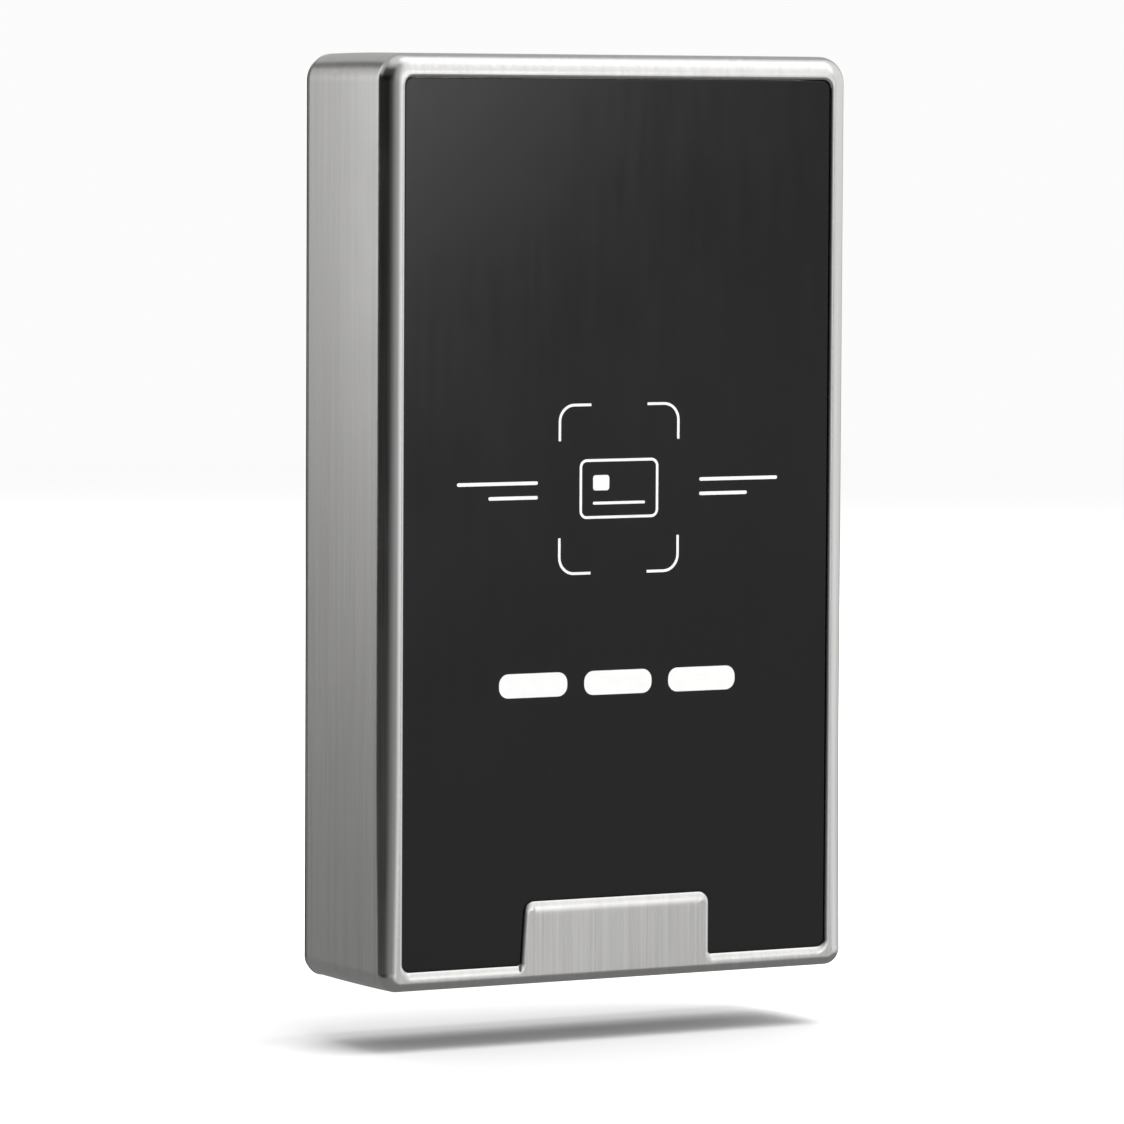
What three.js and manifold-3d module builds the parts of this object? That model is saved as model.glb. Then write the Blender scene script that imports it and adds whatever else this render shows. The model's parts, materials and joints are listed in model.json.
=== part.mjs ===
// Wall-mounted contactless access reader: a cast metal housing with a dark front window, the reader
// electronics on a rear cover, and a wall plate that the reader hangs on and is locked to from below.
//
// Millimetres, +Z up, front towards -Y, +X to the right when seen from the front.
// The origin is on the wall plane (y = 0), at the middle of the housing's width and height.

import * as THREE from 'three';
import { mergeVertices } from 'three/addons/utils/BufferGeometryUtils.js';
import Module from 'manifold-3d';

const wasm = await Module();
wasm.setup();

// ---- driving dimensions -------------------------------------------------------------------------

// Housing
const width = 66;
const height = 115;
const depth = 22;
const wall = 2;
const topCornerRadius = 3.4;
const bottomCornerRadius = 2.4;
const roomCornerRadius = 3.5;
const frontRounding = 2.35;
const frontRoundingSteps = 5;
const innerRounding = 0.35;
const innerRoundingSteps = 3;
const rimSide = 2.8;
const rimTop = 3;
const rimBottom = 2.5;
const windowCornerRadius = 1.6;

// Tongue: the part of the front that rises from the bottom rim into the window
const tongueWidth = 26.3;
const tongueRise = 7.9;
const tongueCornerRadius = 2.1;
const tongueFootRadius = 0.5;

// Window, its tape and the ledge behind them
const windowRecess = 0.35;
const windowThickness = 2.2;
const tapeThickness = 0.4;
const ledgeThickness = 2;
const ledgeWidth = 3.2;

// Electronics
const coilSection = 1.4;
const coilBand = 4;
const coilSideRoom = 4;
const coilEndRoom = 9;
const ferriteThickness = 0.6;
const carrierThickness = 2.2;
const carrierMargin = 1.2;
const carrierBarHeight = 8;
const lightGuideWidth = 12;
const lightGuideHeight = 3.2;
const lightGuideDrop = 6;
const ledSize = 1.6;
const ledHeight = 0.8;
const boardThickness = 1.6;
const boardMargin = 1.2;
const boardCornerNotch = 9;
const boardScrewRadius = 1.1;
const boardScrewLength = 4.1;
const boardPostRadius = 2.6;
const boardPostX = 16;
const boardPostInset = 4;
const componentRoom = 5;
const tallestHeadroom = 0.4;
const connectorWidth = 20;
const connectorHeight = 5.6;
const connectorDrop = 17;
const connectorWays = 8;
const connectorPitch = 2.3;
const connectorWay = 1.4;
const connectorWallHeight = 1;
const buzzerRadius = 5;
const buzzerHoleRadius = 1;
const capacitorRadius = 2.6;

// Rear cover, its seal and its screws
const coverThickness = 1.8;
const skirtHeight = 3.2;
const skirtThickness = 1.4;
const sealThickness = 1.3;
const columnRadius = 3;
const columnInset = 4.6;
const coverScrewRadius = 1.25;
const coverScrewLength = 6;
const screwHeadRadius = 2.3;
const screwHeadHeight = 1.3;

// Cable grommet
const grommetBoreRadius = 3.6;
const grommetRadius = 6.5;
const grommetGroove = 1.1;
const grommetFlange = 1.2;
const cableLevel = 11;

// Wall plate, hooks and keepers
const plateThickness = 1.5;
const plateSideGap = 1;
const plateTopGap = 1;
const liftTravel = 5;
const liftClearance = 0.6;
const hookWidth = 8;
const hookSpacing = 32;
const hookDrop = 19.5;
const hookLip = 3.6;
const hookReach = 1.9;
const blankMargin = 0.8;
const keeperCheek = 1.4;
const keeperRoof = 1.8;
const fixingSpacing = 60;
const fixingRadius = 2.2;
const fixingPlay = 1.2;
const sideHoleInset = 5;
const sideHoleRise = 27.9;

// Lock screw at the bottom, with the tab and nut it goes into
const lockScrewRadius = 1.5;
const lockHeadRadius = 2.7;
const lockHeadHeight = 2;
const lockHeadSink = 0.15;
const lockSocketRadius = 1.2;
const lockSocketDepth = 1.2;
const lockAxisDepth = 7;
const lockBossHeight = 4.2;
const lockBossWidth = 11;
const nutRadius = 3;
const nutHeight = 2.5;
const lockTipRise = 1.4;
const lockTipRoom = 3.75;
const partitionThickness = 2;

// Tamper switch and its plunger
const tamperX = 17;
const tamperRise = 12.3;
const tamperTravel = 1.5;
const plungerRadius = 1.5;
const plungerFlangeRadius = 2.5;
const plungerFlange = 0.6;
const plungerPinRadius = 0.9;
const plungerPinLength = 1.5;
const switchSize = 6.5;
const plungerSlotPlay = 0.5;
const slotCornerGap = 0.02;
const collarThickness = 1.4;
const collarHeight = 1.4;

// Wall gasket
const gasketThickness = 1;
const gasketInset = 0.35;

// Clearances
const seatGap = 0.05;
const glueGap = 0.15;
const slideGap = 0.15;
const screwGap = 0.2;
const coverGap = 0.3;
const sealGap = 0.1;
const keeperGap = 0.25;
const coverJoin = 0.5;

// ---- levels worked out from the dimensions (y, towards the front is negative) -------------------

const housingRear = -gasketThickness;
const windowFront = -depth + windowRecess;
const windowRear = windowFront + windowThickness;
const ledgeFront = windowRear + tapeThickness;
const ledgeRear = ledgeFront + ledgeThickness;
const coilFront = windowRear + glueGap;
const coilRear = coilFront + coilSection;
const ferriteFront = coilRear + seatGap;
const ferriteRear = ferriteFront + ferriteThickness;
const carrierFront = ferriteRear + seatGap;
const carrierRear = carrierFront + carrierThickness;
const boardFront = carrierRear + seatGap;
const boardRear = boardFront + boardThickness;
const coverFront = boardRear + componentRoom;
const coverRear = coverFront + coverThickness;

const innerX = width / 2 - wall;
const innerTop = height / 2 - wall;
const innerBottom = -height / 2 + wall;
const windowX = width / 2 - rimSide;
const windowTop = height / 2 - rimTop;
const windowBottom = -height / 2 + rimBottom;
const tongueTop = windowBottom + tongueRise;
const tabBottom = -height / 2 + lockBossHeight + liftTravel + liftClearance;
const tabTop = tabBottom + plateThickness;
const nutTop = tabTop + seatGap + nutHeight;
const lockTip = nutTop + lockTipRise;
const shelfLevel = lockTip + lockTipRoom;
const partitionTop = shelfLevel + partitionThickness;
const ledgeX = windowX - ledgeWidth;
const ledgeTop = windowTop - ledgeWidth;
const columnX = innerX - columnInset;
const columnTop = innerTop - columnInset;
const columnBottom = partitionTop + columnInset;
const boardInset = skirtThickness + sealThickness + boardMargin + coverGap;
const boardTop = innerTop - boardInset;
const boardBottom = partitionTop + boardInset;
const coilX = ledgeX - coilSideRoom;
const coilTop = boardTop - coilEndRoom;
const coilBottom = boardBottom + coilEndRoom;
const coilMiddle = (coilTop + coilBottom) / 2;
const lightGuideLevel = coilTop - coilBand - lightGuideDrop;
const hookLevel = innerTop - hookDrop;
const tamperZ = boardBottom + tamperRise;

// ---- solids -------------------------------------------------------------------------------------

function solid(geometry) {
  const bare = geometry.clone();
  bare.deleteAttribute('normal');
  bare.deleteAttribute('uv');
  const merged = mergeVertices(bare, 1e-4);
  return new wasm.Manifold(new wasm.Mesh({
    numProp: 3,
    vertProperties: new Float32Array(merged.attributes.position.array),
    triVerts: new Uint32Array(merged.index.array),
  }));
}

function geometryOf(body) {
  const result = body.getMesh();
  const geometry = new THREE.BufferGeometry();
  geometry.setAttribute('position', new THREE.BufferAttribute(new Float32Array(result.vertProperties), 3));
  geometry.setIndex(new THREE.BufferAttribute(new Uint32Array(result.triVerts), 1));
  geometry.computeVertexNormals();
  return geometry;
}

function box(x0, x1, y0, y1, z0, z1) {
  const geometry = new THREE.BoxGeometry(x1 - x0, y1 - y0, z1 - z0);
  geometry.translate((x0 + x1) / 2, (y0 + y1) / 2, (z0 + z1) / 2);
  return solid(geometry);
}

// Round bar along Y from y0 to y1.
function rodY(radius, x, z, y0, y1, sides = 20) {
  const geometry = new THREE.CylinderGeometry(radius, radius, y1 - y0, sides);
  geometry.translate(x, (y0 + y1) / 2, z);
  return solid(geometry);
}

// Round bar along Z from z0 to z1.
function rodZ(radius, x, y, z0, z1, sides = 20) {
  const geometry = new THREE.CylinderGeometry(radius, radius, z1 - z0, sides);
  geometry.rotateX(Math.PI / 2);
  geometry.translate(x, y, (z0 + z1) / 2);
  return solid(geometry);
}

// Outline with round corners, drawn in X and Z: corner radii top and bottom may differ.
function roundedOutline(x0, x1, z0, z1, topRadius, bottomRadius = topRadius) {
  const top = Math.max(topRadius, 0.01);
  const bottom = Math.max(bottomRadius, 0.01);
  const outline = new THREE.Shape();
  outline.moveTo(x0 + bottom, z0);
  outline.lineTo(x1 - bottom, z0);
  outline.absarc(x1 - bottom, z0 + bottom, bottom, -Math.PI / 2, 0, false);
  outline.lineTo(x1, z1 - top);
  outline.absarc(x1 - top, z1 - top, top, 0, Math.PI / 2, false);
  outline.lineTo(x0 + top, z1);
  outline.absarc(x0 + top, z1 - top, top, Math.PI / 2, Math.PI, false);
  outline.lineTo(x0, z0 + bottom);
  outline.absarc(x0 + bottom, z0 + bottom, bottom, Math.PI, Math.PI * 1.5, false);
  return outline;
}

// Straight prism of an outline in X and Z, from y0 (front) to y1 (rear).
function prism(outline, y0, y1, cornerSteps = 5) {
  const geometry = new THREE.ExtrudeGeometry(outline, {
    depth: y1 - y0,
    bevelEnabled: false,
    curveSegments: cornerSteps,
  });
  geometry.rotateX(Math.PI / 2);
  geometry.translate(0, y1, 0);
  return solid(geometry);
}

// Prism whose two ends step in (or out, with a negative size) along a quarter round.
function roundedPrism(outline, y0, y1, size, steps, cornerSteps) {
  const rounding = Math.abs(size);
  const geometry = new THREE.ExtrudeGeometry(outline, {
    depth: y1 - y0 - 2 * rounding,
    bevelEnabled: true,
    bevelThickness: rounding,
    bevelSize: size,
    bevelOffset: -size,
    bevelSegments: steps,
    curveSegments: cornerSteps,
  });
  geometry.rotateX(Math.PI / 2);
  geometry.translate(0, y1 - rounding, 0);
  return solid(geometry);
}

// Window outline, grown by `grow`, with the notch that the tongue fills.
function windowOutline(grow) {
  const x1 = windowX + grow;
  const z0 = windowBottom - grow;
  const z1 = windowTop + grow;
  const corner = windowCornerRadius + grow;
  const notchX = tongueWidth / 2 + innerRounding - grow;
  const notchTop = tongueTop + innerRounding - grow;
  const notchCorner = tongueCornerRadius - grow;
  const foot = tongueFootRadius + innerRounding + grow;
  const quarter = Math.PI / 2;
  const outline = new THREE.Shape();
  outline.moveTo(notchX + foot, z0);
  outline.lineTo(x1 - corner, z0);
  outline.absarc(x1 - corner, z0 + corner, corner, -quarter, 0, false);
  outline.lineTo(x1, z1 - corner);
  outline.absarc(x1 - corner, z1 - corner, corner, 0, quarter, false);
  outline.lineTo(-x1 + corner, z1);
  outline.absarc(-x1 + corner, z1 - corner, corner, quarter, Math.PI, false);
  outline.lineTo(-x1, z0 + corner);
  outline.absarc(-x1 + corner, z0 + corner, corner, Math.PI, 3 * quarter, false);
  outline.lineTo(-notchX - foot, z0);
  outline.absarc(-notchX - foot, z0 + foot, foot, -quarter, 0, false);
  outline.lineTo(-notchX, notchTop - notchCorner);
  outline.absarc(-notchX + notchCorner, notchTop - notchCorner, notchCorner, Math.PI, quarter, true);
  outline.lineTo(notchX - notchCorner, notchTop);
  outline.absarc(notchX - notchCorner, notchTop - notchCorner, notchCorner, quarter, 0, true);
  outline.lineTo(notchX, z0 + foot);
  outline.absarc(notchX + foot, z0 + foot, foot, Math.PI, 3 * quarter, false);
  return outline;
}

// Screw along Y: a domed head at headY, towards side (+1 rear, -1 front), with a hexagonal socket.
function screwY(x, z, headY, side, shankRadius, length) {
  const points = [
    new THREE.Vector2(0, -length),
    new THREE.Vector2(shankRadius * 0.7, -length),
    new THREE.Vector2(shankRadius, -length + shankRadius * 0.5),
    new THREE.Vector2(shankRadius, 0),
    new THREE.Vector2(screwHeadRadius, 0),
    new THREE.Vector2(screwHeadRadius, screwHeadHeight * 0.55),
    new THREE.Vector2(screwHeadRadius * 0.7, screwHeadHeight),
    new THREE.Vector2(0, screwHeadHeight),
  ];
  const socketRadius = screwHeadRadius * 0.45;
  const socket = new THREE.CylinderGeometry(socketRadius, socketRadius, screwHeadHeight, 6);
  socket.translate(0, screwHeadHeight, 0);
  const turned = solid(new THREE.LatheGeometry(points, 14)).subtract(solid(socket));
  const geometry = geometryOf(turned);
  if (side < 0) geometry.rotateX(Math.PI);
  geometry.translate(x, headY, z);
  return solid(geometry);
}

// ---- outlines and rings shared by several pieces ------------------------------------------------

const insetCorner = (radius, inset) => Math.max(radius - inset, 0.4);

function bodyOutline(inset) {
  return roundedOutline(
    -width / 2 + inset, width / 2 - inset, -height / 2 + inset, height / 2 - inset,
    insetCorner(topCornerRadius, inset), insetCorner(bottomCornerRadius, inset),
  );
}

// The electronics compartment: everything between the side walls above the partition.
function compartmentOutline(inset) {
  return roundedOutline(
    -innerX + inset, innerX - inset, partitionTop + inset, innerTop - inset,
    insetCorner(roomCornerRadius, inset), insetCorner(windowCornerRadius, inset),
  );
}

const columnPlaces = [
  [-columnX, columnTop],
  [columnX, columnTop],
  [-columnX, columnBottom],
  [columnX, columnBottom],
];

// ---- reader: housing, window and its tape -------------------------------------------------------

function makeHousing() {
  const overrun = 4;
  let body = roundedPrism(
    bodyOutline(0), -depth, housingRear + overrun, frontRounding, frontRoundingSteps, 6,
  );
  body = body.subtract(box(-width, width, housingRear, overrun * 2, -height, height));
  const pocket = roundedPrism(
    windowOutline(0), -depth, ledgeFront + innerRounding, -innerRounding, innerRoundingSteps, 5,
  );
  const pocketDepth = box(-width, width, -depth - overrun, ledgeFront, -height, height);
  body = body.subtract(pocket.intersect(pocketDepth));
  const ledgeOpening = roundedOutline(-ledgeX, ledgeX, partitionTop, ledgeTop, windowCornerRadius);
  body = body.subtract(prism(ledgeOpening, ledgeFront - overrun / 2, ledgeRear + overrun / 2));
  body = body.subtract(prism(compartmentOutline(0), ledgeRear, overrun));
  const lockRoom = roundedOutline(
    -innerX, innerX, innerBottom, shelfLevel, windowCornerRadius, insetCorner(bottomCornerRadius, wall),
  );
  body = body.subtract(prism(lockRoom, ledgeRear, overrun));
  body = body.subtract(prism(bodyOutline(wall), coverRear, overrun));
  for (const [x, z] of columnPlaces) {
    const hole = rodY(coverScrewRadius + screwGap, x, z, coverFront - coverScrewLength, coverFront + 1, 14);
    const column = rodY(columnRadius, x, z, ledgeRear - ledgeThickness / 2, coverFront - seatGap, 16);
    body = body.add(column.subtract(hole));
  }
  const boss = box(
    -lockBossWidth / 2, lockBossWidth / 2, -lockAxisDepth - lockBossWidth / 2, housingRear - wall,
    innerBottom - wall / 2, -height / 2 + lockBossHeight,
  );
  const counterboreTop = -height / 2 + lockHeadSink + lockHeadHeight + seatGap;
  const counterbore = rodZ(lockHeadRadius + screwGap, 0, -lockAxisDepth, -height, counterboreTop);
  const shaftHole = rodZ(lockScrewRadius + screwGap, 0, -lockAxisDepth, -height, shelfLevel - wall);
  return body.add(boss).subtract(counterbore).subtract(shaftHole);
}

function makeWindow() {
  return prism(windowOutline(-glueGap), windowFront, windowRear - seatGap);
}

function makeWindowTape() {
  const opening = roundedOutline(
    -ledgeX - glueGap, ledgeX + glueGap, partitionTop - glueGap, ledgeTop + glueGap, windowCornerRadius,
  );
  const tape = prism(windowOutline(-glueGap * 3), windowRear, ledgeFront - seatGap, 3);
  return tape.subtract(prism(opening, -depth, 0, 3));
}

function makeWallGasket() {
  const ring = prism(bodyOutline(gasketInset), housingRear + seatGap / 2, 0, 4);
  return ring.subtract(prism(bodyOutline(wall), -depth, depth, 4));
}

// ---- reader: antenna, carrier and light guide ---------------------------------------------------

function coilOutline(inset) {
  const half = coilX - inset;
  return roundedOutline(-half, half, coilBottom + inset, coilTop - inset, half / 3);
}

function makeAntennaCoil() {
  return prism(coilOutline(0), coilFront, coilRear, 4).subtract(prism(coilOutline(coilBand), -depth, 0, 4));
}

function lightGuideOpening(gap) {
  return box(
    -lightGuideWidth / 2 - gap, lightGuideWidth / 2 + gap, -depth, 0,
    lightGuideLevel - lightGuideHeight / 2 - gap, lightGuideLevel + lightGuideHeight / 2 + gap,
  );
}

function makeFerriteSheet() {
  const sheet = prism(coilOutline(-carrierMargin / 2), ferriteFront, ferriteRear, 3);
  return sheet.subtract(lightGuideOpening(coverGap));
}

function makeAntennaCarrier() {
  const plate = prism(coilOutline(-carrierMargin), carrierFront, carrierRear, 3);
  const core = prism(coilOutline(coilBand + carrierMargin), -depth, 0, 3);
  const barBottom = coilMiddle - carrierBarHeight / 2;
  const bar = box(-coilX, coilX, carrierFront, carrierRear, barBottom, barBottom + carrierBarHeight);
  return plate.subtract(core).add(bar);
}

function makeLightGuide() {
  return box(
    -lightGuideWidth / 2, lightGuideWidth / 2, coilFront, boardFront - ledHeight - slideGap,
    lightGuideLevel - lightGuideHeight / 2, lightGuideLevel + lightGuideHeight / 2,
  );
}

function makeStatusLight(place) {
  const x = place * lightGuideWidth / 3;
  return box(
    x - ledSize / 2, x + ledSize / 2, boardFront - ledHeight, boardFront - seatGap,
    lightGuideLevel - ledSize / 2, lightGuideLevel + ledSize / 2,
  );
}

// ---- reader: circuit board and what is on it ----------------------------------------------------

const boardPostPlaces = [
  [-boardPostX, boardTop - boardPostInset],
  [boardPostX, boardTop - boardPostInset],
  [-boardPostX, boardBottom + boardPostInset],
  [boardPostX, boardBottom + boardPostInset],
];

// Plain components on the rear of the board: middle, size across, size up, and how far they stand off.
const plainComponents = [
  { name: 'radio_module', x: 9, z: boardTop - 12, across: 13, up: 10, high: 2.2, finish: 'shieldCan' },
  { name: 'reader_chip', x: -7, z: boardTop - 9, across: 6, up: 6, high: 1, finish: 'chip' },
  { name: 'microcontroller', x: -8, z: boardTop - 21, across: 8, up: 8, high: 1.2, finish: 'chip' },
  { name: 'clock_crystal', x: -17, z: boardTop - 21, across: 5, up: 3.2, high: 1.4, finish: 'shieldCan' },
  { name: 'power_regulator', x: -18, z: cableLevel - 6, across: 6.6, up: 6, high: 2.3, finish: 'chip' },
  { name: 'power_inductor', x: -19, z: cableLevel + 4, across: 6.5, up: 6.5, high: 3.6, finish: 'ferrite' },
  { name: 'line_driver', x: -5, z: boardBottom + 9.3, across: 5, up: 4, high: 1.6, finish: 'chip' },
];
const buzzerPlace = [-17, boardBottom + 12.5];
const capacitorPlaces = [
  [19, cableLevel - 3],
  [19, cableLevel + 4],
];

function makeCircuitBoard() {
  let board = prism(compartmentOutline(boardInset), boardFront, boardRear - seatGap, 3);
  for (const [x, z] of columnPlaces) {
    const half = boardCornerNotch / 2;
    board = board.subtract(box(x - half, x + half, -depth, 0, z - half, z + half));
  }
  for (const [x, z] of boardPostPlaces) {
    board = board.subtract(rodY(boardScrewRadius + screwGap, x, z, -depth, 0, 12));
  }
  return board;
}

function makePlainComponent({ x, z, across, up, high }) {
  return box(x - across / 2, x + across / 2, boardRear, boardRear + high, z - up / 2, z + up / 2);
}

// Header for the cable's wires: a block with one open cell for each way, on its upper side.
function makeCableConnector() {
  const z = cableLevel - connectorDrop;
  const top = z + connectorHeight / 2;
  const rear = coverFront - tallestHeadroom;
  let connector = box(
    -connectorWidth / 2, connectorWidth / 2, boardRear, rear, z - connectorHeight / 2, top,
  );
  for (let way = 0; way < connectorWays; way += 1) {
    const x = (way - (connectorWays - 1) / 2) * connectorPitch;
    const cell = box(
      x - connectorWay / 2, x + connectorWay / 2, boardRear + connectorWallHeight, rear - connectorWallHeight,
      z, top + connectorHeight,
    );
    connector = connector.subtract(cell);
  }
  return connector;
}

function makeBuzzer() {
  const [x, z] = buzzerPlace;
  const rear = coverFront - tallestHeadroom * 2;
  const body = rodY(buzzerRadius, x, z, boardRear, rear, 24);
  return body.subtract(rodY(buzzerHoleRadius, x, z, (boardRear + rear) / 2, 0, 10));
}

function makeCapacitor([x, z]) {
  return rodY(capacitorRadius, x, z, boardRear, coverFront - tallestHeadroom, 16);
}

function makeTamperSwitch() {
  const top = coverFront - plungerFlange - tamperTravel - slideGap;
  const body = box(
    tamperX - switchSize / 2, tamperX + switchSize / 2, boardRear, top,
    tamperZ - switchSize / 2, tamperZ + switchSize / 2,
  );
  const bore = rodY(plungerPinRadius + slideGap, tamperX, tamperZ, top - plungerPinLength - slideGap, 0, 14);
  return body.subtract(bore);
}

// ---- reader: rear cover, seal and grommet -------------------------------------------------------

const keeperRear = -plateThickness - keeperGap - seatGap;
const hookFront = -plateThickness - hookReach;
const pocketFront = hookFront - plateThickness - keeperGap;

function makeKeeper(x) {
  const half = hookWidth / 2 + keeperGap + keeperCheek;
  const block = box(
    x - half, x + half, coverRear - coverThickness / 2, keeperRear,
    hookLevel, hookLevel + hookLip + keeperGap + keeperRoof,
  );
  const pocket = box(
    x - hookWidth / 2 - keeperGap, x + hookWidth / 2 + keeperGap, pocketFront,
    hookFront + keeperGap, hookLevel - 1, hookLevel + hookLip + keeperGap,
  );
  return block.subtract(pocket);
}

function makeRearCover() {
  let cover = prism(compartmentOutline(coverGap), coverFront, coverRear, 4);
  const skirtInset = coverGap + sealThickness;
  const skirt = prism(compartmentOutline(skirtInset), coverFront - skirtHeight, coverFront + coverJoin, 4);
  const skirtRoom = prism(compartmentOutline(skirtInset + skirtThickness), -depth, coverFront, 4);
  cover = cover.add(skirt.subtract(skirtRoom));
  for (const [x, z] of columnPlaces) {
    cover = cover.subtract(rodY(columnRadius + coverGap, x, z, -depth, coverFront, 16));
    cover = cover.subtract(rodY(coverScrewRadius + screwGap, x, z, -depth, 0, 14));
  }
  for (const [x, z] of boardPostPlaces) {
    const post = rodY(boardPostRadius, x, z, boardRear, coverFront + coverJoin, 14);
    const holeEnd = boardFront + boardScrewLength + screwGap;
    const hole = rodY(boardScrewRadius + screwGap, x, z, -depth, holeEnd, 12);
    cover = cover.add(post).subtract(hole);
  }
  for (const side of [-1, 1]) {
    cover = cover.add(makeKeeper(side * hookSpacing / 2));
  }
  const collarRadius = plungerRadius + slideGap + collarThickness;
  const collarRear = coverRear + collarHeight;
  cover = cover.add(rodY(collarRadius, tamperX, tamperZ, coverFront + coverJoin, collarRear, 18));
  cover = cover.subtract(rodY(plungerRadius + slideGap, tamperX, tamperZ, -depth, 0, 18));
  return cover.subtract(rodY(grommetRadius - grommetGroove + sealGap, 0, cableLevel, -depth, 0, 24));
}

function makeCoverSeal() {
  const front = coverFront - sealThickness - seatGap;
  const ring = prism(compartmentOutline(sealGap), front, coverFront - seatGap, 3);
  const middle = prism(compartmentOutline(coverGap + sealThickness - sealGap), -depth, 0, 3);
  return ring.subtract(middle);
}

// Turned rubber ring: a flange each side of the cover, and a lip towards the wall.
function makeCableGrommet() {
  const neck = grommetRadius - grommetGroove;
  const lip = grommetBoreRadius + 1.1;
  const points = [
    [grommetBoreRadius, coverFront - grommetFlange],
    [grommetRadius, coverFront - grommetFlange],
    [grommetRadius, coverFront - seatGap],
    [neck, coverFront - seatGap],
    [neck, coverRear + seatGap],
    [grommetRadius, coverRear + seatGap],
    [grommetRadius, coverRear + grommetFlange],
    [lip, coverRear + grommetFlange + 1.2],
    [grommetBoreRadius, coverRear + grommetFlange + 1.2],
    [grommetBoreRadius, coverFront - grommetFlange],
  ].map(([radius, along]) => new THREE.Vector2(radius, along));
  const geometry = new THREE.LatheGeometry(points, 24);
  geometry.translate(0, 0, cableLevel);
  return solid(geometry);
}

// ---- wall plate and lock ------------------------------------------------------------------------

const plateX = innerX - plateSideGap;
const plateTop = innerTop - plateTopGap;
const plateBottom = innerBottom + liftTravel + liftClearance;
const cableOpeningHalf = grommetRadius + 1;

function makeHook(x) {
  const half = hookWidth / 2;
  const arm = box(
    x - half, x + half, hookFront - plateThickness, -plateThickness / 2,
    hookLevel - plateThickness - seatGap, hookLevel - seatGap,
  );
  const lip = box(
    x - half, x + half, hookFront - plateThickness, hookFront,
    hookLevel - plateThickness - seatGap, hookLevel + hookLip,
  );
  return arm.add(lip);
}

function makeWallPlate() {
  const corner = insetCorner(roomCornerRadius, plateTopGap);
  let plate = prism(
    roundedOutline(-plateX, plateX, plateBottom, plateTop, corner, corner), -plateThickness, 0, 4,
  );
  const cableOpening = roundedOutline(
    -cableOpeningHalf, cableOpeningHalf, cableLevel - cableOpeningHalf,
    cableLevel + cableOpeningHalf + liftTravel, 3,
  );
  plate = plate.subtract(prism(cableOpening, -depth, depth, 4));
  for (const side of [-1, 1]) {
    const slot = roundedOutline(
      -fixingRadius - fixingPlay, fixingRadius + fixingPlay,
      side * fixingSpacing / 2 - fixingRadius, side * fixingSpacing / 2 + fixingRadius,
      fixingRadius - slotCornerGap,
    );
    plate = plate.subtract(prism(slot, -depth, depth, 5));
    const x = side * hookSpacing / 2;
    const blankTop = hookLevel - plateThickness - blankMargin;
    const blank = box(
      x - hookWidth / 2 - blankMargin, x + hookWidth / 2 + blankMargin, -depth, depth,
      blankTop - hookLip - hookReach, blankTop,
    );
    plate = plate.subtract(blank).add(makeHook(x));
    plate = plate.subtract(
      rodY(fixingRadius, side * (plateX - sideHoleInset), plateBottom + sideHoleRise, -depth, depth, 18),
    );
  }
  const slotHalf = plungerRadius + plungerSlotPlay;
  const plungerSlot = roundedOutline(
    tamperX - slotHalf, tamperX + slotHalf, tamperZ - slotHalf, tamperZ + slotHalf + liftTravel,
    slotHalf - slotCornerGap,
  );
  plate = plate.subtract(prism(plungerSlot, -depth, depth, 5));
  const tabX = lockBossWidth / 2;
  const tab = box(-tabX, tabX, -lockAxisDepth - tabX, -plateThickness / 2, tabBottom, tabTop);
  const tabHole = rodZ(lockScrewRadius + screwGap, 0, -lockAxisDepth, -height, 0);
  return plate.add(tab).subtract(tabHole);
}

function makeLockNut() {
  const nut = rodZ(nutRadius, 0, -lockAxisDepth, tabTop + seatGap, nutTop, 6);
  return nut.subtract(rodZ(lockScrewRadius + screwGap, 0, -lockAxisDepth, -height, height));
}

function makeLockScrew() {
  const headBottom = -height / 2 + lockHeadSink;
  const headTop = headBottom + lockHeadHeight;
  const chamfer = 0.35;
  const points = [
    [0, headBottom],
    [lockHeadRadius - chamfer, headBottom],
    [lockHeadRadius, headBottom + chamfer],
    [lockHeadRadius, headTop],
    [lockScrewRadius, headTop],
    [lockScrewRadius, lockTip - chamfer],
    [lockScrewRadius - chamfer, lockTip],
    [0, lockTip],
  ].map(([radius, along]) => new THREE.Vector2(radius, along));
  const geometry = new THREE.LatheGeometry(points, 20);
  geometry.rotateX(Math.PI / 2);
  geometry.translate(0, -lockAxisDepth, 0);
  const socket = rodZ(lockSocketRadius, 0, -lockAxisDepth, -height, headBottom + lockSocketDepth, 6);
  const pin = rodZ(lockSocketRadius * 0.4, 0, -lockAxisDepth, headBottom + 0.3, headTop - 0.2, 10);
  return solid(geometry).subtract(socket).add(pin);
}

function makeTamperPlunger() {
  const flangeRear = coverFront - tamperTravel;
  const flangeFront = flangeRear - plungerFlange;
  const points = [
    [0, flangeFront - plungerPinLength],
    [plungerPinRadius, flangeFront - plungerPinLength],
    [plungerPinRadius, flangeFront],
    [plungerFlangeRadius, flangeFront],
    [plungerFlangeRadius, flangeRear - seatGap],
    [plungerRadius, flangeRear - seatGap],
    [plungerRadius, -0.5],
    [plungerRadius - 0.4, 0],
    [0, 0],
  ].map(([radius, along]) => new THREE.Vector2(radius, along));
  const geometry = new THREE.LatheGeometry(points, 16);
  geometry.translate(tamperX, 0, tamperZ);
  return solid(geometry);
}

// ---- assembly -----------------------------------------------------------------------------------

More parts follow.
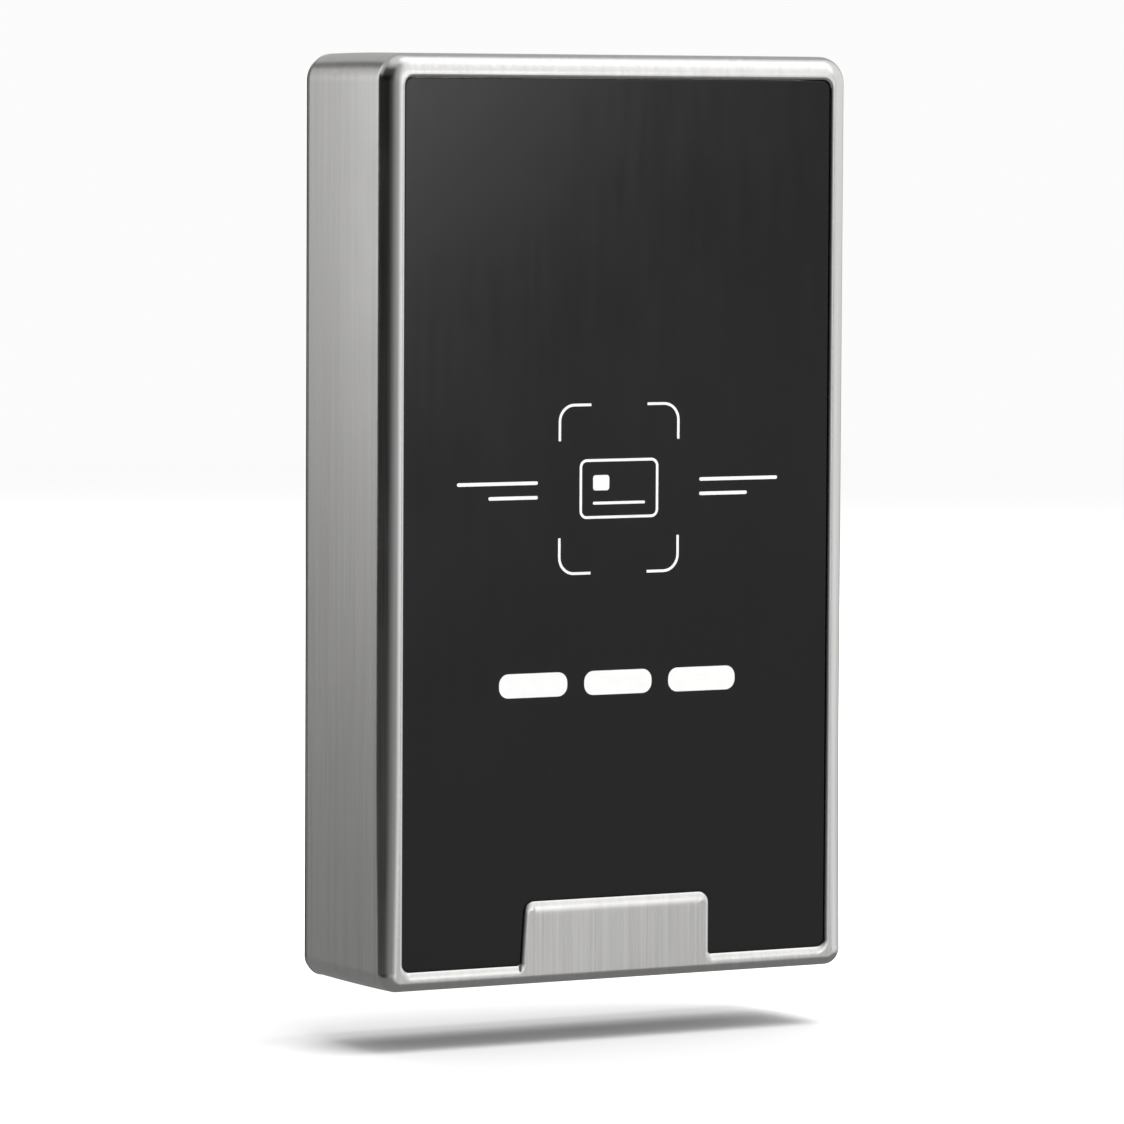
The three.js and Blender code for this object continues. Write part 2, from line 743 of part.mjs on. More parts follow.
const finishes = {
  brushedSteel: { color: 0xb4b4b2, roughness: 0.38, metalness: 1 },
  zincSteel: { color: 0xa9adb0, roughness: 0.45, metalness: 0.9 },
  screwSteel: { color: 0xc2c3c4, roughness: 0.3, metalness: 1 },
  smokedPanel: { color: 0x2b292a, roughness: 0.16, metalness: 0 },
  tape: { color: 0x161616, roughness: 0.9, metalness: 0 },
  rubber: { color: 0x1d1d1f, roughness: 0.85, metalness: 0 },
  blackPlastic: { color: 0x232426, roughness: 0.6, metalness: 0 },
  clearPlastic: { color: 0xe6ebee, roughness: 0.15, metalness: 0 },
  copper: { color: 0xb8733b, roughness: 0.35, metalness: 1 },
  ferrite: { color: 0x3a3a3d, roughness: 0.7, metalness: 0.2 },
  board: { color: 0x1f5a3a, roughness: 0.5, metalness: 0 },
  chip: { color: 0x1a1a1c, roughness: 0.55, metalness: 0 },
  shieldCan: { color: 0xc9cbcc, roughness: 0.35, metalness: 1 },
  connector: { color: 0xd8d4c4, roughness: 0.55, metalness: 0 },
  ledBody: { color: 0xefe9d2, roughness: 0.3, metalness: 0 },
};

const reader = new THREE.Group();

function place(name, body, finish) {
  const mesh = new THREE.Mesh(geometryOf(body), new THREE.MeshStandardMaterial(finishes[finish]));
  mesh.name = name;
  reader.add(mesh);
}

place('housing', makeHousing(), 'brushedSteel');
place('front_window', makeWindow(), 'smokedPanel');
place('window_tape', makeWindowTape(), 'tape');
place('wall_gasket', makeWallGasket(), 'rubber');

place('antenna_coil', makeAntennaCoil(), 'copper');
place('ferrite_sheet', makeFerriteSheet(), 'ferrite');
place('antenna_carrier', makeAntennaCarrier(), 'blackPlastic');
place('light_guide', makeLightGuide(), 'clearPlastic');
place('status_light_red', makeStatusLight(-1), 'ledBody');
place('status_light_green', makeStatusLight(0), 'ledBody');
place('status_light_blue', makeStatusLight(1), 'ledBody');

place('circuit_board', makeCircuitBoard(), 'board');
place('cable_connector', makeCableConnector(), 'connector');
for (const component of plainComponents) {
  place(component.name, makePlainComponent(component), component.finish);
}
capacitorPlaces.forEach((middle, index) => {
  place(`filter_capacitor_${index + 1}`, makeCapacitor(middle), 'shieldCan');
});
place('buzzer', makeBuzzer(), 'blackPlastic');
place('tamper_switch', makeTamperSwitch(), 'blackPlastic');

place('rear_cover', makeRearCover(), 'blackPlastic');
place('cover_seal', makeCoverSeal(), 'rubber');
place('cable_grommet', makeCableGrommet(), 'rubber');
columnPlaces.forEach(([x, z], index) => {
  const screw = screwY(x, z, coverRear + seatGap, 1, coverScrewRadius, coverScrewLength);
  place(`cover_screw_${index + 1}`, screw, 'screwSteel');
});
boardPostPlaces.forEach(([x, z], index) => {
  const screw = screwY(x, z, boardFront - seatGap, -1, boardScrewRadius, boardScrewLength);
  place(`board_screw_${index + 1}`, screw, 'screwSteel');
});

place('tamper_plunger', makeTamperPlunger(), 'connector');
place('lock_screw', makeLockScrew(), 'screwSteel');
place('wall_plate', makeWallPlate(), 'zincSteel');
place('lock_nut', makeLockNut(), 'screwSteel');

export default reader;
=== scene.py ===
"""The finished look of a wall-mounted contactless access reader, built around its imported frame.

Metres, +Z up, the front towards -Y, the wall plane at y = 0. The file is laid out as an add-on and is run
as a script: main() registers it and calls its operators one after the other.
"""

import json
import math

import bmesh
import bpy
from bpy.props import FloatProperty, FloatVectorProperty, IntProperty, PointerProperty
from mathutils import Matrix, Vector


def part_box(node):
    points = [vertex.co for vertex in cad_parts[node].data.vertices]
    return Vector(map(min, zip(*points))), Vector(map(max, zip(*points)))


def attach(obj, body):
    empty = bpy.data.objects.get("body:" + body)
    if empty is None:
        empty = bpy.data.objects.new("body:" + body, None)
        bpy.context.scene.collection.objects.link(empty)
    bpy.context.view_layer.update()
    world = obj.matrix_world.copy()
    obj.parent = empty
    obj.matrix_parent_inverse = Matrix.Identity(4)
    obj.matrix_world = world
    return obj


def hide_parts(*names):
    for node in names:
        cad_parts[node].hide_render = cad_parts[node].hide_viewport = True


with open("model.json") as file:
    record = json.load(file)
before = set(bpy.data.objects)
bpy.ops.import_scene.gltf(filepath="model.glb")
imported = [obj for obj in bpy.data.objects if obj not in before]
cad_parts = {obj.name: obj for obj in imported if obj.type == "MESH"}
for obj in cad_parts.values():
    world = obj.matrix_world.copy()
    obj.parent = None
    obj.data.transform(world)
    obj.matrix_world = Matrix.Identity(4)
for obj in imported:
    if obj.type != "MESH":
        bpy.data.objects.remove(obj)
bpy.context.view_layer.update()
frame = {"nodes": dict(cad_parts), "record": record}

bl_info = {
    "name": "Access Reader Looks",
    "version": (1, 0, 0),
    "blender": (4, 5, 0),
    "location": "View3D > Sidebar > Access Reader",
    "description": "Builds the looks of a wall-mounted access reader: its parts, finishes and stage",
    "category": "Object",
}

MM = 0.001
READER = "reader"
WALL = "wall_plate"
COVER_SCREWS = range(1, 5)
STROKE = 0.34 * MM
SAME_PLACE = 1e-7

HOUSING_LOW, HOUSING_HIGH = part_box("housing")
WINDOW_LOW, WINDOW_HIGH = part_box("front_window")
COVER_LOW, COVER_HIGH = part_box("rear_cover")
GASKET_LOW, GASKET_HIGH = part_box("wall_gasket")
LOCK_LOW, LOCK_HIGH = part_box("lock_screw")
TAPE_LOW, TAPE_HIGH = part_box("window_tape")
SEAL_LOW, SEAL_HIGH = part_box("cover_seal")


# ---- sizes and colours ------------------------------------------------------------------------------------


def length(name, description, default):
    """A length property in metres."""
    kind = {"unit": "LENGTH", "subtype": "DISTANCE"}
    return FloatProperty(name=name, description=description, default=default, **kind)


def colour(name, description, default):
    """A linear colour property."""
    kind = {"subtype": "COLOR", "size": 3, "min": 0.0, "max": 1.0}
    return FloatVectorProperty(name=name, description=description, default=default, **kind)


def brightness(name, description, default):
    """A property for the strength of a light."""
    return FloatProperty(name=name, description=description, default=default)


class ReaderSizes(bpy.types.PropertyGroup):
    """Sizes of the outside of the reader."""

    top_corner: length("Top corners", "Radius of the housing's top corners", 3.4 * MM)
    bottom_corner: length("Bottom corners", "Radius of the housing's bottom corners", 2.4 * MM)
    front_rounding: length("Front rounding", "Radius of the edge round the front", 2.35 * MM)
    bottom_rounding: length("Bottom rounding", "Radius of that edge along the bottom", 1.25 * MM)
    foot_rounding: length("Foot rounding", "Width of that edge at the foot of each side", 2.0 * MM)
    taper_height: length("Taper height", "Height over which that edge narrows to the foot", 36 * MM)
    rim_rounding: length("Rim rounding", "Width of the rounding of the rim's inner edge", 0.4 * MM)
    rail_rounding: length("Bottom rim rounding", "Width of that rounding below the window", 1.15 * MM)
    rear_rounding: length("Rear rounding", "Radius of the housing's rear edge", 0.25 * MM)
    rim_side: length("Side rims", "Width of the rim at the sides of the window", 2.8 * MM)
    rim_top: length("Top rim", "Width of the rim above the window", 3.0 * MM)
    rim_bottom: length("Bottom rim", "Width of the rim below the window", 2.5 * MM)
    window_corner: length("Window corners", "Radius of the window's corners", 1.1 * MM)
    tongue_width: length("Tongue width", "Width of the tongue at its top", 26.3 * MM)
    tongue_lean: length("Tongue lean", "How far the tongue's left side leans out at its foot", 0.4 * MM)
    tongue_rise: length("Tongue rise", "Height of the tongue above the bottom rim", 7.9 * MM)
    tongue_corner: length("Tongue corners", "Radius of the tongue's top corners", 1.4 * MM)
    tongue_foot: length("Tongue foot", "Radius where the tongue meets the rim", 0.45 * MM)
    tongue_top_rounding: length("Tongue top rounding", "Width of the rounding along its top", 1.6 * MM)
    tongue_side_rounding: length("Tongue side rounding", "Width of the rounding along its sides", 0.5 * MM)
    wall: length("Wall", "Thickness of the housing's walls", 2.0 * MM)
    side_bow: length("Side bow", "How much the outside swells at mid depth", 0.08 * MM)
    corner_steps: IntProperty(name="Corner steps", description="Facets in a quarter turn", default=12, min=3)


class ReaderColours(bpy.types.PropertyGroup):
    """Colours of the reader's finishes."""

    steel: colour("Steel", "Brushed metal of the housing", (0.60, 0.595, 0.585))
    window: colour("Window", "Smoked front window", (0.0068, 0.0062, 0.0064))
    print_white: colour("Print", "White printed marks", (0.86, 0.86, 0.85))
    rubber: colour("Rubber", "Gasket, grommet and seals", (0.022, 0.022, 0.024))
    black_plastic: colour("Black plastic", "Rear cover and other black mouldings", (0.028, 0.029, 0.031))
    zinc: colour("Zinc", "Plated wall plate", (0.66, 0.67, 0.68))
    bright_steel: colour("Bright steel", "Screws and nut", (0.62, 0.62, 0.63))
    board: colour("Board", "Solder resist", (0.018, 0.12, 0.05))
    copper: colour("Copper", "Antenna winding", (0.62, 0.27, 0.11))
    pale_plastic: colour("Pale plastic", "Connector and plunger", (0.66, 0.63, 0.53))


class StageSettings(bpy.types.PropertyGroup):
    """Floor, light and camera."""

    floor: colour("Floor", "Plain pale floor", (0.84, 0.84, 0.84))
    floor_drop: length("Floor drop", "Room under the reader for the lock screw to come out", 7.5 * MM)
    lens: FloatProperty(name="Lens", description="Focal length in millimetres", default=215.7, min=1.0)
    backdrop_light: brightness("Backdrop", "Brightness of the plain backdrop", 0.97)
    upper_light: brightness("Upper light", "Light from above the horizon", 0.55)
    lower_light: brightness("Lower light", "Light from below the horizon", 0.26)
    front_light: brightness("Front light", "Added light of the front soft box", 0.8)
    strip_light: brightness("Strip light", "Added light of the left rear strip", 1.05)
    low_light: brightness("Low light", "Added light low in front", 0.32)
    right_light: brightness("Right light", "Added light on the right", 0.55)
    sheen_light: brightness("Sheen", "Added light of the window's soft sheen", 1.95)
    top_light: brightness("Top light", "Added light overhead", 0.4)
    side_dark: brightness("Dark side", "How much light the left side takes away", 0.97)


# ---- outlines ---------------------------------------------------------------------------------------------


class Outline:
    """A closed outline in X and Z. Each point keeps the direction into the metal and the rounding's width."""

    def __init__(self, steps, support=0.0):
        self.steps = steps
        self.support = support
        self.points = []

    def add(self, x, z, inward_x, inward_z, rounding):
        """Adds one point."""
        self.points.append((x, z, inward_x, inward_z, rounding))

    def arc(self, x, z, radius, start, end, into, first, last):
        """Adds an arc about x, z, with a support point just before and after it if the outline has them.

        into is 1 where the metal lies outside the arc and -1 where it lies inside it.
        """
        turn = 1 if end > start else -1
        beyond = 1 if self.support else 0
        for step in range(-beyond, self.steps + beyond + 1):
            share = min(max(step / self.steps, 0.0), 1.0)
            angle = math.radians(start + (end - start) * share)
            along = (step < 0) * -self.support + (step > self.steps) * self.support
            px = x + radius * math.cos(angle) - turn * math.sin(angle) * along
            pz = z + radius * math.sin(angle) + turn * math.cos(angle) * along
            self.add(px, pz, into * math.cos(angle), into * math.sin(angle), first + (last - first) * share)

    def side(self, x, low, high, into, first, last, steps=10):
        """Adds points up or down a straight side at x, where the rounding eases from first to last."""
        for step in range(1, steps):
            share = step / steps
            ease = share * (2 - share) if last > first else share * share
            self.add(x, low + (high - low) * share, into, 0.0, first + (last - first) * ease)

    def roundings(self):
        """The width of the rounding at each point."""
        return [point[-1] for point in self.points]

    def at(self, offset=0.0, share=0.0):
        """The outline moved into the metal by offset, plus share times each point's own rounding."""
        return [
            (x + nx * (offset + share * rounding), z + nz * (offset + share * rounding))
            for x, z, nx, nz, rounding in self.points
        ]


def housing_outline(sizes):
    """Outer outline of the housing: its metal lies inside it."""
    outline = Outline(sizes.corner_steps, 0.12 * MM)
    x0, x1 = HOUSING_LOW.x, HOUSING_HIGH.x
    z0, z1 = HOUSING_LOW.z, HOUSING_HIGH.z
    top, bottom = sizes.top_corner, sizes.bottom_corner
    side, low, foot = sizes.front_rounding, sizes.bottom_rounding, sizes.foot_rounding
    start, stop = z0 + bottom + outline.support, z0 + sizes.taper_height
    outline.arc(x1 - bottom, z0 + bottom, bottom, -90, 0, -1, low, foot)
    outline.side(x1, start, stop, -1, foot, side)
    outline.arc(x1 - top, z1 - top, top, 0, 90, -1, side, side)
    outline.arc(x0 + top, z1 - top, top, 90, 180, -1, side, side)
    outline.side(x0, stop, start, 1, side, foot)
    outline.arc(x0 + bottom, z0 + bottom, bottom, 180, 270, -1, foot, low)
    return outline


def window_outline(sizes):
    """Outline of the window opening, with the tongue standing into it: the metal lies outside it."""
    outline = Outline(sizes.corner_steps, 0.08 * MM)
    x1 = HOUSING_HIGH.x - sizes.rim_side
    z0 = HOUSING_LOW.z + sizes.rim_bottom
    z1 = HOUSING_HIGH.z - sizes.rim_top
    corner, foot, shoulder = sizes.window_corner, sizes.tongue_foot, sizes.tongue_corner
    rim, rail = sizes.rim_rounding, sizes.rail_rounding
    side, top = sizes.tongue_side_rounding, sizes.tongue_top_rounding
    head_x = sizes.tongue_width / 2
    foot_x = head_x + sizes.tongue_lean
    head_z = z0 + sizes.tongue_rise
    outline.arc(x1 - corner, z0 + corner, corner, -90, 0, 1, rail, rim)
    outline.arc(x1 - corner, z1 - corner, corner, 0, 90, 1, rim, rim)
    outline.arc(-x1 + corner, z1 - corner, corner, 90, 180, 1, rim, rim)
    outline.arc(-x1 + corner, z0 + corner, corner, 180, 270, 1, rim, rail)
    outline.arc(-foot_x - foot, z0 + foot, foot, 270, 360, 1, rail, side)
    outline.arc(-head_x + shoulder, head_z - shoulder, shoulder, 180, 90, -1, side, top)
    outline.arc(head_x - shoulder, head_z - shoulder, shoulder, 90, 0, -1, top, side)
    outline.arc(head_x + foot, z0 + foot, foot, 180, 270, 1, side, rail)
    return outline


def rectangle(x0, x1, z0, z1, radius, steps=8):
    """Outline of a rectangle with round corners: its material lies inside it."""
    outline = Outline(steps)
    outline.arc(x1 - radius, z0 + radius, radius, -90, 0, -1, 0, 0)
    outline.arc(x1 - radius, z1 - radius, radius, 0, 90, -1, 0, 0)
    outline.arc(x0 + radius, z1 - radius, radius, 90, 180, -1, 0, 0)
    outline.arc(x0 + radius, z0 + radius, radius, 180, 270, -1, 0, 0)
    return outline


# ---- mesh helpers -----------------------------------------------------------------------------------------


def spread(depths, points):
    """One depth for each point: depths is a list of them, or one y for all."""
    return depths if isinstance(depths, list) else [depths] * len(points)


def start_ring(bm, points, depths):
    """A closed ring of vertices at the points."""
    ring = [bm.verts.new((x, y, z)) for (x, z), y in zip(points, spread(depths, points))]
    for vert, after in zip(ring, ring[1:] + ring[:1]):
        bm.edges.new((vert, after))
    return ring


def ring_edges(bm, ring):
    """The edges that join a ring's vertices."""
    return [bm.edges.get(pair) for pair in zip(ring, ring[1:] + ring[:1])]


def pull_ring(bm, ring, places):
    """Extrudes a ring and moves the new one to the places. Returns the new ring."""
    made = bmesh.ops.extrude_edge_only(bm, edges=ring_edges(bm, ring))["geom"]
    fresh = {part for part in made if isinstance(part, bmesh.types.BMVert)}
    follow = [next(e.other_vert(v) for e in v.link_edges if e.other_vert(v) in fresh) for v in ring]
    for vert, place in zip(follow, places):
        vert.co = place
    return follow


def extrude_ring(bm, ring, points, depths):
    """Extrudes a ring to the points of an outline and their depths."""
    return pull_ring(bm, ring, [(x, y, z) for (x, z), y in zip(points, spread(depths, points))])


def fill(bm, *rings):
    """Closes a flat gap: one ring is capped, and two are joined by a flat band."""
    edges = [edge for ring in rings for edge in ring_edges(bm, ring)]
    bmesh.ops.triangle_fill(bm, use_beauty=True, use_dissolve=False, edges=edges)


def quarter_turn(steps, first=0):
    """The sine and cosine of each step of a quarter turn."""
    for step in range(first, steps + 1):
        angle = math.pi / 2 * step / steps
        yield math.sin(angle), math.cos(angle)


def finish_mesh(bm, name, sharp=32.0):
    """Makes an object from a bmesh: doubles merged, faces turned outwards, smooth but for sharp edges."""
    bmesh.ops.remove_doubles(bm, verts=bm.verts, dist=SAME_PLACE)
    bmesh.ops.recalc_face_normals(bm, faces=bm.faces)
    return finish_object(bm, name, sharp)


def finish_object(bm, name, sharp):
    """Links a bmesh as an object, smooth but for edges sharper than the angle."""
    mesh = bpy.data.meshes.new(name)
    bm.to_mesh(mesh)
    bm.free()
    piece = bpy.data.objects.new(name, mesh)
    smooth(piece, sharp)
    bpy.context.scene.collection.objects.link(piece)
    return piece


def smooth(piece, sharp=32.0):
    """Shades a piece smooth, but for edges sharper than the angle."""
    piece.data.shade_smooth()
    piece.data.set_sharp_from_angle(angle=math.radians(sharp))


def combine(piece, cutter, operation):
    """Joins a cutter to a piece or cuts it away, and drops the cutter."""
    modifier = piece.modifiers.new("Combine", "BOOLEAN")
    modifier.operation = operation
    modifier.solver = "EXACT"
    modifier.object = cutter
    graph = bpy.context.evaluated_depsgraph_get()
    result = bpy.data.meshes.new_from_object(piece.evaluated_get(graph))
    piece.modifiers.clear()
    old = piece.data
    piece.data = result
    bpy.data.meshes.remove(old)
    bpy.data.objects.remove(cutter)
    if not piece.data.polygons:
        raise RuntimeError(f"{piece.name} is empty after a {operation.lower()}")


def block_piece(outline, y0, y1):
    """A temporary plain solid with an outline, used to cut or join."""
    bm = bmesh.new()
    ring = start_ring(bm, outline.at(), y0)
    fill(bm, ring)
    fill(bm, extrude_ring(bm, ring, outline.at(), y1))
    return finish_mesh(bm, "cutter")


def rod_piece(radius, centre, axis, start, end):
    """A temporary round bar along axis ("Y" or "Z") from start to end, used to cut or join."""
    bm = bmesh.new()
    bmesh.ops.create_cone(bm, cap_ends=True, segments=40, radius1=radius, radius2=radius, depth=end - start)
    turn = Matrix.Rotation(math.pi / 2, 4, "X") if axis == "Y" else Matrix.Identity(4)
    middle = Vector(centre)
    middle["XYZ".index(axis)] = (start + end) / 2
    bmesh.ops.transform(bm, matrix=Matrix.Translation(middle) @ turn, verts=bm.verts)
    return finish_mesh(bm, "cutter")


def turned(profile, place, axis, steps):
    """Spins a profile of (radius, along) points about an axis through place ("Y" or "Z")."""
    bm = bmesh.new()
    verts = []
    for radius, along in profile:
        point = Vector((radius, along, 0)) if axis == "Y" else Vector((radius, 0, along))
        verts.append(bm.verts.new(point + Vector(place)))
    edges = [bm.edges.new(pair) for pair in zip(verts, verts[1:])]
    direction = (0, 1, 0) if axis == "Y" else (0, 0, 1)
    bmesh.ops.spin(
        bm, geom=verts + edges, cent=place, axis=direction, angle=math.tau, steps=steps, use_merge=True
    )
    return bm


def rounded_profile(points, radius, steps=4):
    """Rounds the corners of a profile of (radius, along) points, ends apart."""
    profile = [points[0]]
    for before, here, after in zip(points, points[1:], points[2:]):
        here = Vector(here)
        back, on = Vector(before) - here, Vector(after) - here
        reach = min(radius, back.length * 0.45, on.length * 0.45)
        start, end = here + back.normalized() * reach, here + on.normalized() * reach
        for step in range(steps + 1):
            t = step / steps
            spot = start * (1 - t) ** 2 + here * 2 * t * (1 - t) + end * t ** 2
            profile.append((spot.x, spot.y))
    profile.append(points[-1])
    return profile


def stand_for(piece, node, body, slot):
    """Coats a new piece with a slot's finish, hides the CAD node that it stands for and lets it ride on a
    body.
    """
    coat(piece, slot)
    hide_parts(node)
    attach(piece, body)


# ---- materials --------------------------------------------------------------------------------------------


def new_material(name):
    """Makes a node material. Returns its node tree and its shader."""
    material = bpy.data.materials.new(name)
    material.use_nodes = True
    return material.node_tree, material.node_tree.nodes["Principled BSDF"]


def feed(tree, socket, value):
    """Links an output to a socket, or sets the socket's own value."""
    if isinstance(value, bpy.types.NodeSocket):
        tree.links.new(value, socket)
    else:
        socket.default_value = value


def add_node(tree, kind, **values):
    """A node with its inputs fed and its properties set, by name."""
    node = tree.nodes.new(kind)
    for name, value in values.items():
        if name in node.inputs:
            feed(tree, node.inputs[name], value)
        else:
            setattr(node, name, value)
    return node


def reckon(tree, operation, first, second=None):
    """One step of arithmetic on outputs or plain numbers."""
    node = add_node(tree, "ShaderNodeMath", operation=operation)
    for socket, value in zip(node.inputs, (first, second)):
        if value is not None:
            feed(tree, socket, value)
    return node.outputs["Value"]


def object_place(tree):
    """The Object coordinates."""
    return add_node(tree, "ShaderNodeTexCoord").outputs["Object"]


def object_noise(tree, scale, detail=4.0, stretch=(1, 1, 1)):
    """Noise on Object coordinates, stretched by axis."""
    place = add_node(tree, "ShaderNodeMapping", Vector=object_place(tree), Scale=stretch)
    values = {"Vector": place.outputs["Vector"], "Scale": scale, "Detail": detail, "Roughness": 0.55}
    return add_node(tree, "ShaderNodeTexNoise", **values).outputs["Fac"]


def remap(tree, value, low, high, start=0.3, stop=0.7):
    """Maps a value from start..stop to low..high."""
    values = {"Value": value, "From Min": start, "From Max": stop, "To Min": low, "To Max": high}
    return add_node(tree, "ShaderNodeMapRange", **values).outputs["Result"]


def mix_colours(tree, factor, first, second, blend="MIX"):
    """Mixes two colours, each an output or a plain tint, by a factor."""
    node = add_node(tree, "ShaderNodeMix", data_type="RGBA", blend_type=blend, Factor=factor)
    for socket, tint in zip(node.inputs[6:8], (first, second)):
        feed(tree, socket, tint if isinstance(tint, bpy.types.NodeSocket) else (*tint, 1))
    return node.outputs[2]


def shades(tree, factor, tint, dark, light):
    """A tint that varies from its dark share to its light share by a factor."""
    return mix_colours(tree, factor, scaled(tint, dark), scaled(tint, light))


def scaled(tint, factor):
    """A colour made lighter or darker."""
    return tuple(min(channel * factor, 1.0) for channel in tint)


def mix_shaders(tree, factor, first, second):
    """Mixes two shader outputs by a factor output."""
    node = add_node(tree, "ShaderNodeMixShader", Fac=factor)
    feed(tree, node.inputs[1], first)
    feed(tree, node.inputs[2], second)
    return node.outputs["Shader"]


def smooth_step(tree, value, start, stop):
    """Eases from 0 to 1 as a value goes from start to stop."""
    values = {"interpolation_type": "SMOOTHSTEP", "Value": value, "From Min": start, "From Max": stop}
    return add_node(tree, "ShaderNodeMapRange", **values).outputs["Result"]


def dress(tree, shader, values, *reliefs):
    """Feeds the shader's inputs by name, and chains reliefs of (height output, strength, distance)."""
    for height, strength, distance in reliefs:
        below = {"Normal": values["Normal"]} if "Normal" in values else {}
        bump = add_node(tree, "ShaderNodeBump", Height=height, Strength=strength, Distance=distance, **below)
        values = {**values, "Normal": bump.outputs["Normal"]}
    for name, value in values.items():
        feed(tree, shader.inputs[name], value)


def edge_wear(tree, radius):
    """1 on convex edges, 0 on flats."""
    bevel = add_node(tree, "ShaderNodeBevel", samples=6, Radius=radius)
    geometry = add_node(tree, "ShaderNodeNewGeometry")
    dot = add_node(tree, "ShaderNodeVectorMath", operation="DOT_PRODUCT")
    feed(tree, dot.inputs[0], bevel.outputs["Normal"])
    feed(tree, dot.inputs[1], geometry.outputs["Normal"])
    return remap(tree, dot.outputs["Value"], 1.0, 0.0, 0.9, 0.995)


def mottled(name, tint, shade, gloss, relief, **others):
    """A finish whose colour, gloss and relief each follow a noise.

    Each of the three starts with its noise's scale, detail and, where it is stretched, its stretch. The shade
    ends with the dark and light shares of the tint, the gloss with the least and greatest roughness, and the
    relief with its strength and distance.
    """
    tree, shader = new_material(name)
    *noise, dark, light = shade
    values = {"Base Color": shades(tree, object_noise(tree, *noise), tint, dark, light)}
    *noise, low, high = gloss
    values["Roughness"] = remap(tree, object_noise(tree, *noise), low, high)
    *noise, strength, distance = relief
    dress(tree, shader, {**values, **others}, (object_noise(tree, *noise), strength, distance))


def brushed_steel(name, tint):
    """Satin metal brushed up and down: long fine streaks in colour, gloss and relief."""
    tree, shader = new_material(name)
    fine = object_noise(tree, 5600, 2.0, (1, 1, 0.009))
    broad = object_noise(tree, 900, 3.0, (1, 1, 0.02))
    cloud = object_noise(tree, 60, 3.0)
    streaks = remap(tree, reckon(tree, "ADD", fine, broad), 0.0, 1.0, 0.7, 1.3)
    gloss = reckon(tree, "ADD", remap(tree, fine, 0.21, 0.26), remap(tree, cloud, -0.02, 0.02))
    values = {"Base Color": shades(tree, streaks, tint, 0.94, 1.06), "Roughness": gloss, "Metallic": 1.0}
    dress(tree, shader, values, (fine, 0.06, 0.00002))


def smoked_panel(name, tint):
    """Dark satin-gloss plastic with a trace of polish marks and fine dust in its gloss."""
    tree, shader = new_material(name)
    cloud = object_noise(tree, 45)
    grain = object_noise(tree, 2600, 2.0)
    marks = object_noise(tree, 700, 2.0, (1, 1, 0.08))
    gloss = reckon(tree, "ADD", remap(tree, cloud, 0.09, 0.12), remap(tree, marks, -0.015, 0.015))
    values = {"Base Color": shades(tree, cloud, tint, 0.92, 1.1), "Roughness": gloss, "IOR": 1.5,
              "Specular IOR Level": 0.3}
    dress(tree, shader, values, (grain, 0.03, 0.00001))


def textured_plastic(name, tint, grain_scale, low, high):
    """Spark-textured moulding with paler rubbed edges."""
    tree, shader = new_material(name)
    body = shades(tree, object_noise(tree, 140), tint, 0.88, 1.14)
    grain = object_noise(tree, grain_scale)
    worn = remap(tree, edge_wear(tree, 0.0004), 0.0, 0.5, 0.2, 1.0)
    values = {"Base Color": mix_colours(tree, worn, body, scaled(tint, 1.7)),
              "Roughness": remap(tree, grain, low, high)}
    dress(tree, shader, values, (grain, 0.22, 0.00005))


def plated_steel(name, tint):
    """Zinc-plated sheet: faint spangle, rolling lines and a cloudy sheen."""
    tree, shader = new_material(name)
    spangle = add_node(tree, "ShaderNodeTexVoronoi", Vector=object_place(tree), Scale=520.0, Randomness=1.0)
    grains = add_node(tree, "ShaderNodeSeparateColor", Color=spangle.outputs["Color"])
    rolling = object_noise(tree, 1400, 3.0, (0.04, 1, 1))
    cloud = object_noise(tree, 70)
    body = shades(tree, remap(tree, cloud, 0.0, 1.0), tint, 0.9, 1.08)
    spots = shades(tree, grains.outputs["Red"], (1.0, 1.0, 1.0), 0.9, 1.0)
    shift = remap(tree, grains.outputs["Green"], -0.04, 0.04, 0.0, 1.0)
    values = {"Base Color": mix_colours(tree, 1.0, body, spots, "MULTIPLY"),
              "Roughness": reckon(tree, "ADD", remap(tree, rolling, 0.30, 0.42), shift), "Metallic": 0.6}
    dress(tree, shader, values, (rolling, 0.1, 0.00003), (cloud, 0.1, 0.0001))


def circuit_board(name, tint):
    """Green solder resist over faint tracks."""
    tree, shader = new_material(name)
    turn = add_node(tree, "ShaderNodeMapping", Vector=object_place(tree), Rotation=(math.pi / 2, 0, 0))
    shares = {"Color1": 0.85, "Color2": 1.05, "Mortar": 1.9}
    values = {key: (*scaled(tint, share), 1) for key, share in shares.items()}
    values.update({"Vector": turn.outputs["Vector"], "Scale": 160.0, "Mortar Size": 0.06, "offset": 0.35})
    tracks = add_node(tree, "ShaderNodeTexBrick", **values)
    haze = object_noise(tree, 1800, 3.0)
    values = {"Base Color": tracks.outputs["Color"], "Roughness": remap(tree, haze, 0.28, 0.42)}
    dress(tree, shader, values, (tracks.outputs["Fac"], 0.2, 0.00003))


def clear_plastic(name):
    """Clear moulded acrylic."""
    tree, shader = new_material(name)
    haze = object_noise(tree, 600, 3.0)
    tint = mix_colours(tree, haze, (0.86, 0.9, 0.92), (0.95, 0.97, 0.98))
    values = {"Base Color": tint, "Roughness": remap(tree, haze, 0.05, 0.14), "Transmission Weight": 0.9,
              "IOR": 1.49}
    dress(tree, shader, values, (haze, 0.05, 0.00003))


def rubber(name, tint):
    """Matt moulded rubber with bloom and a fine skin."""
    mottled(name, tint, (300, 5.0, 0.8, 1.5), (300, 5.0, 0.72, 0.9), (5000, 3.0, 0.25, 0.00003),
            **{"Specular IOR Level": 0.35})


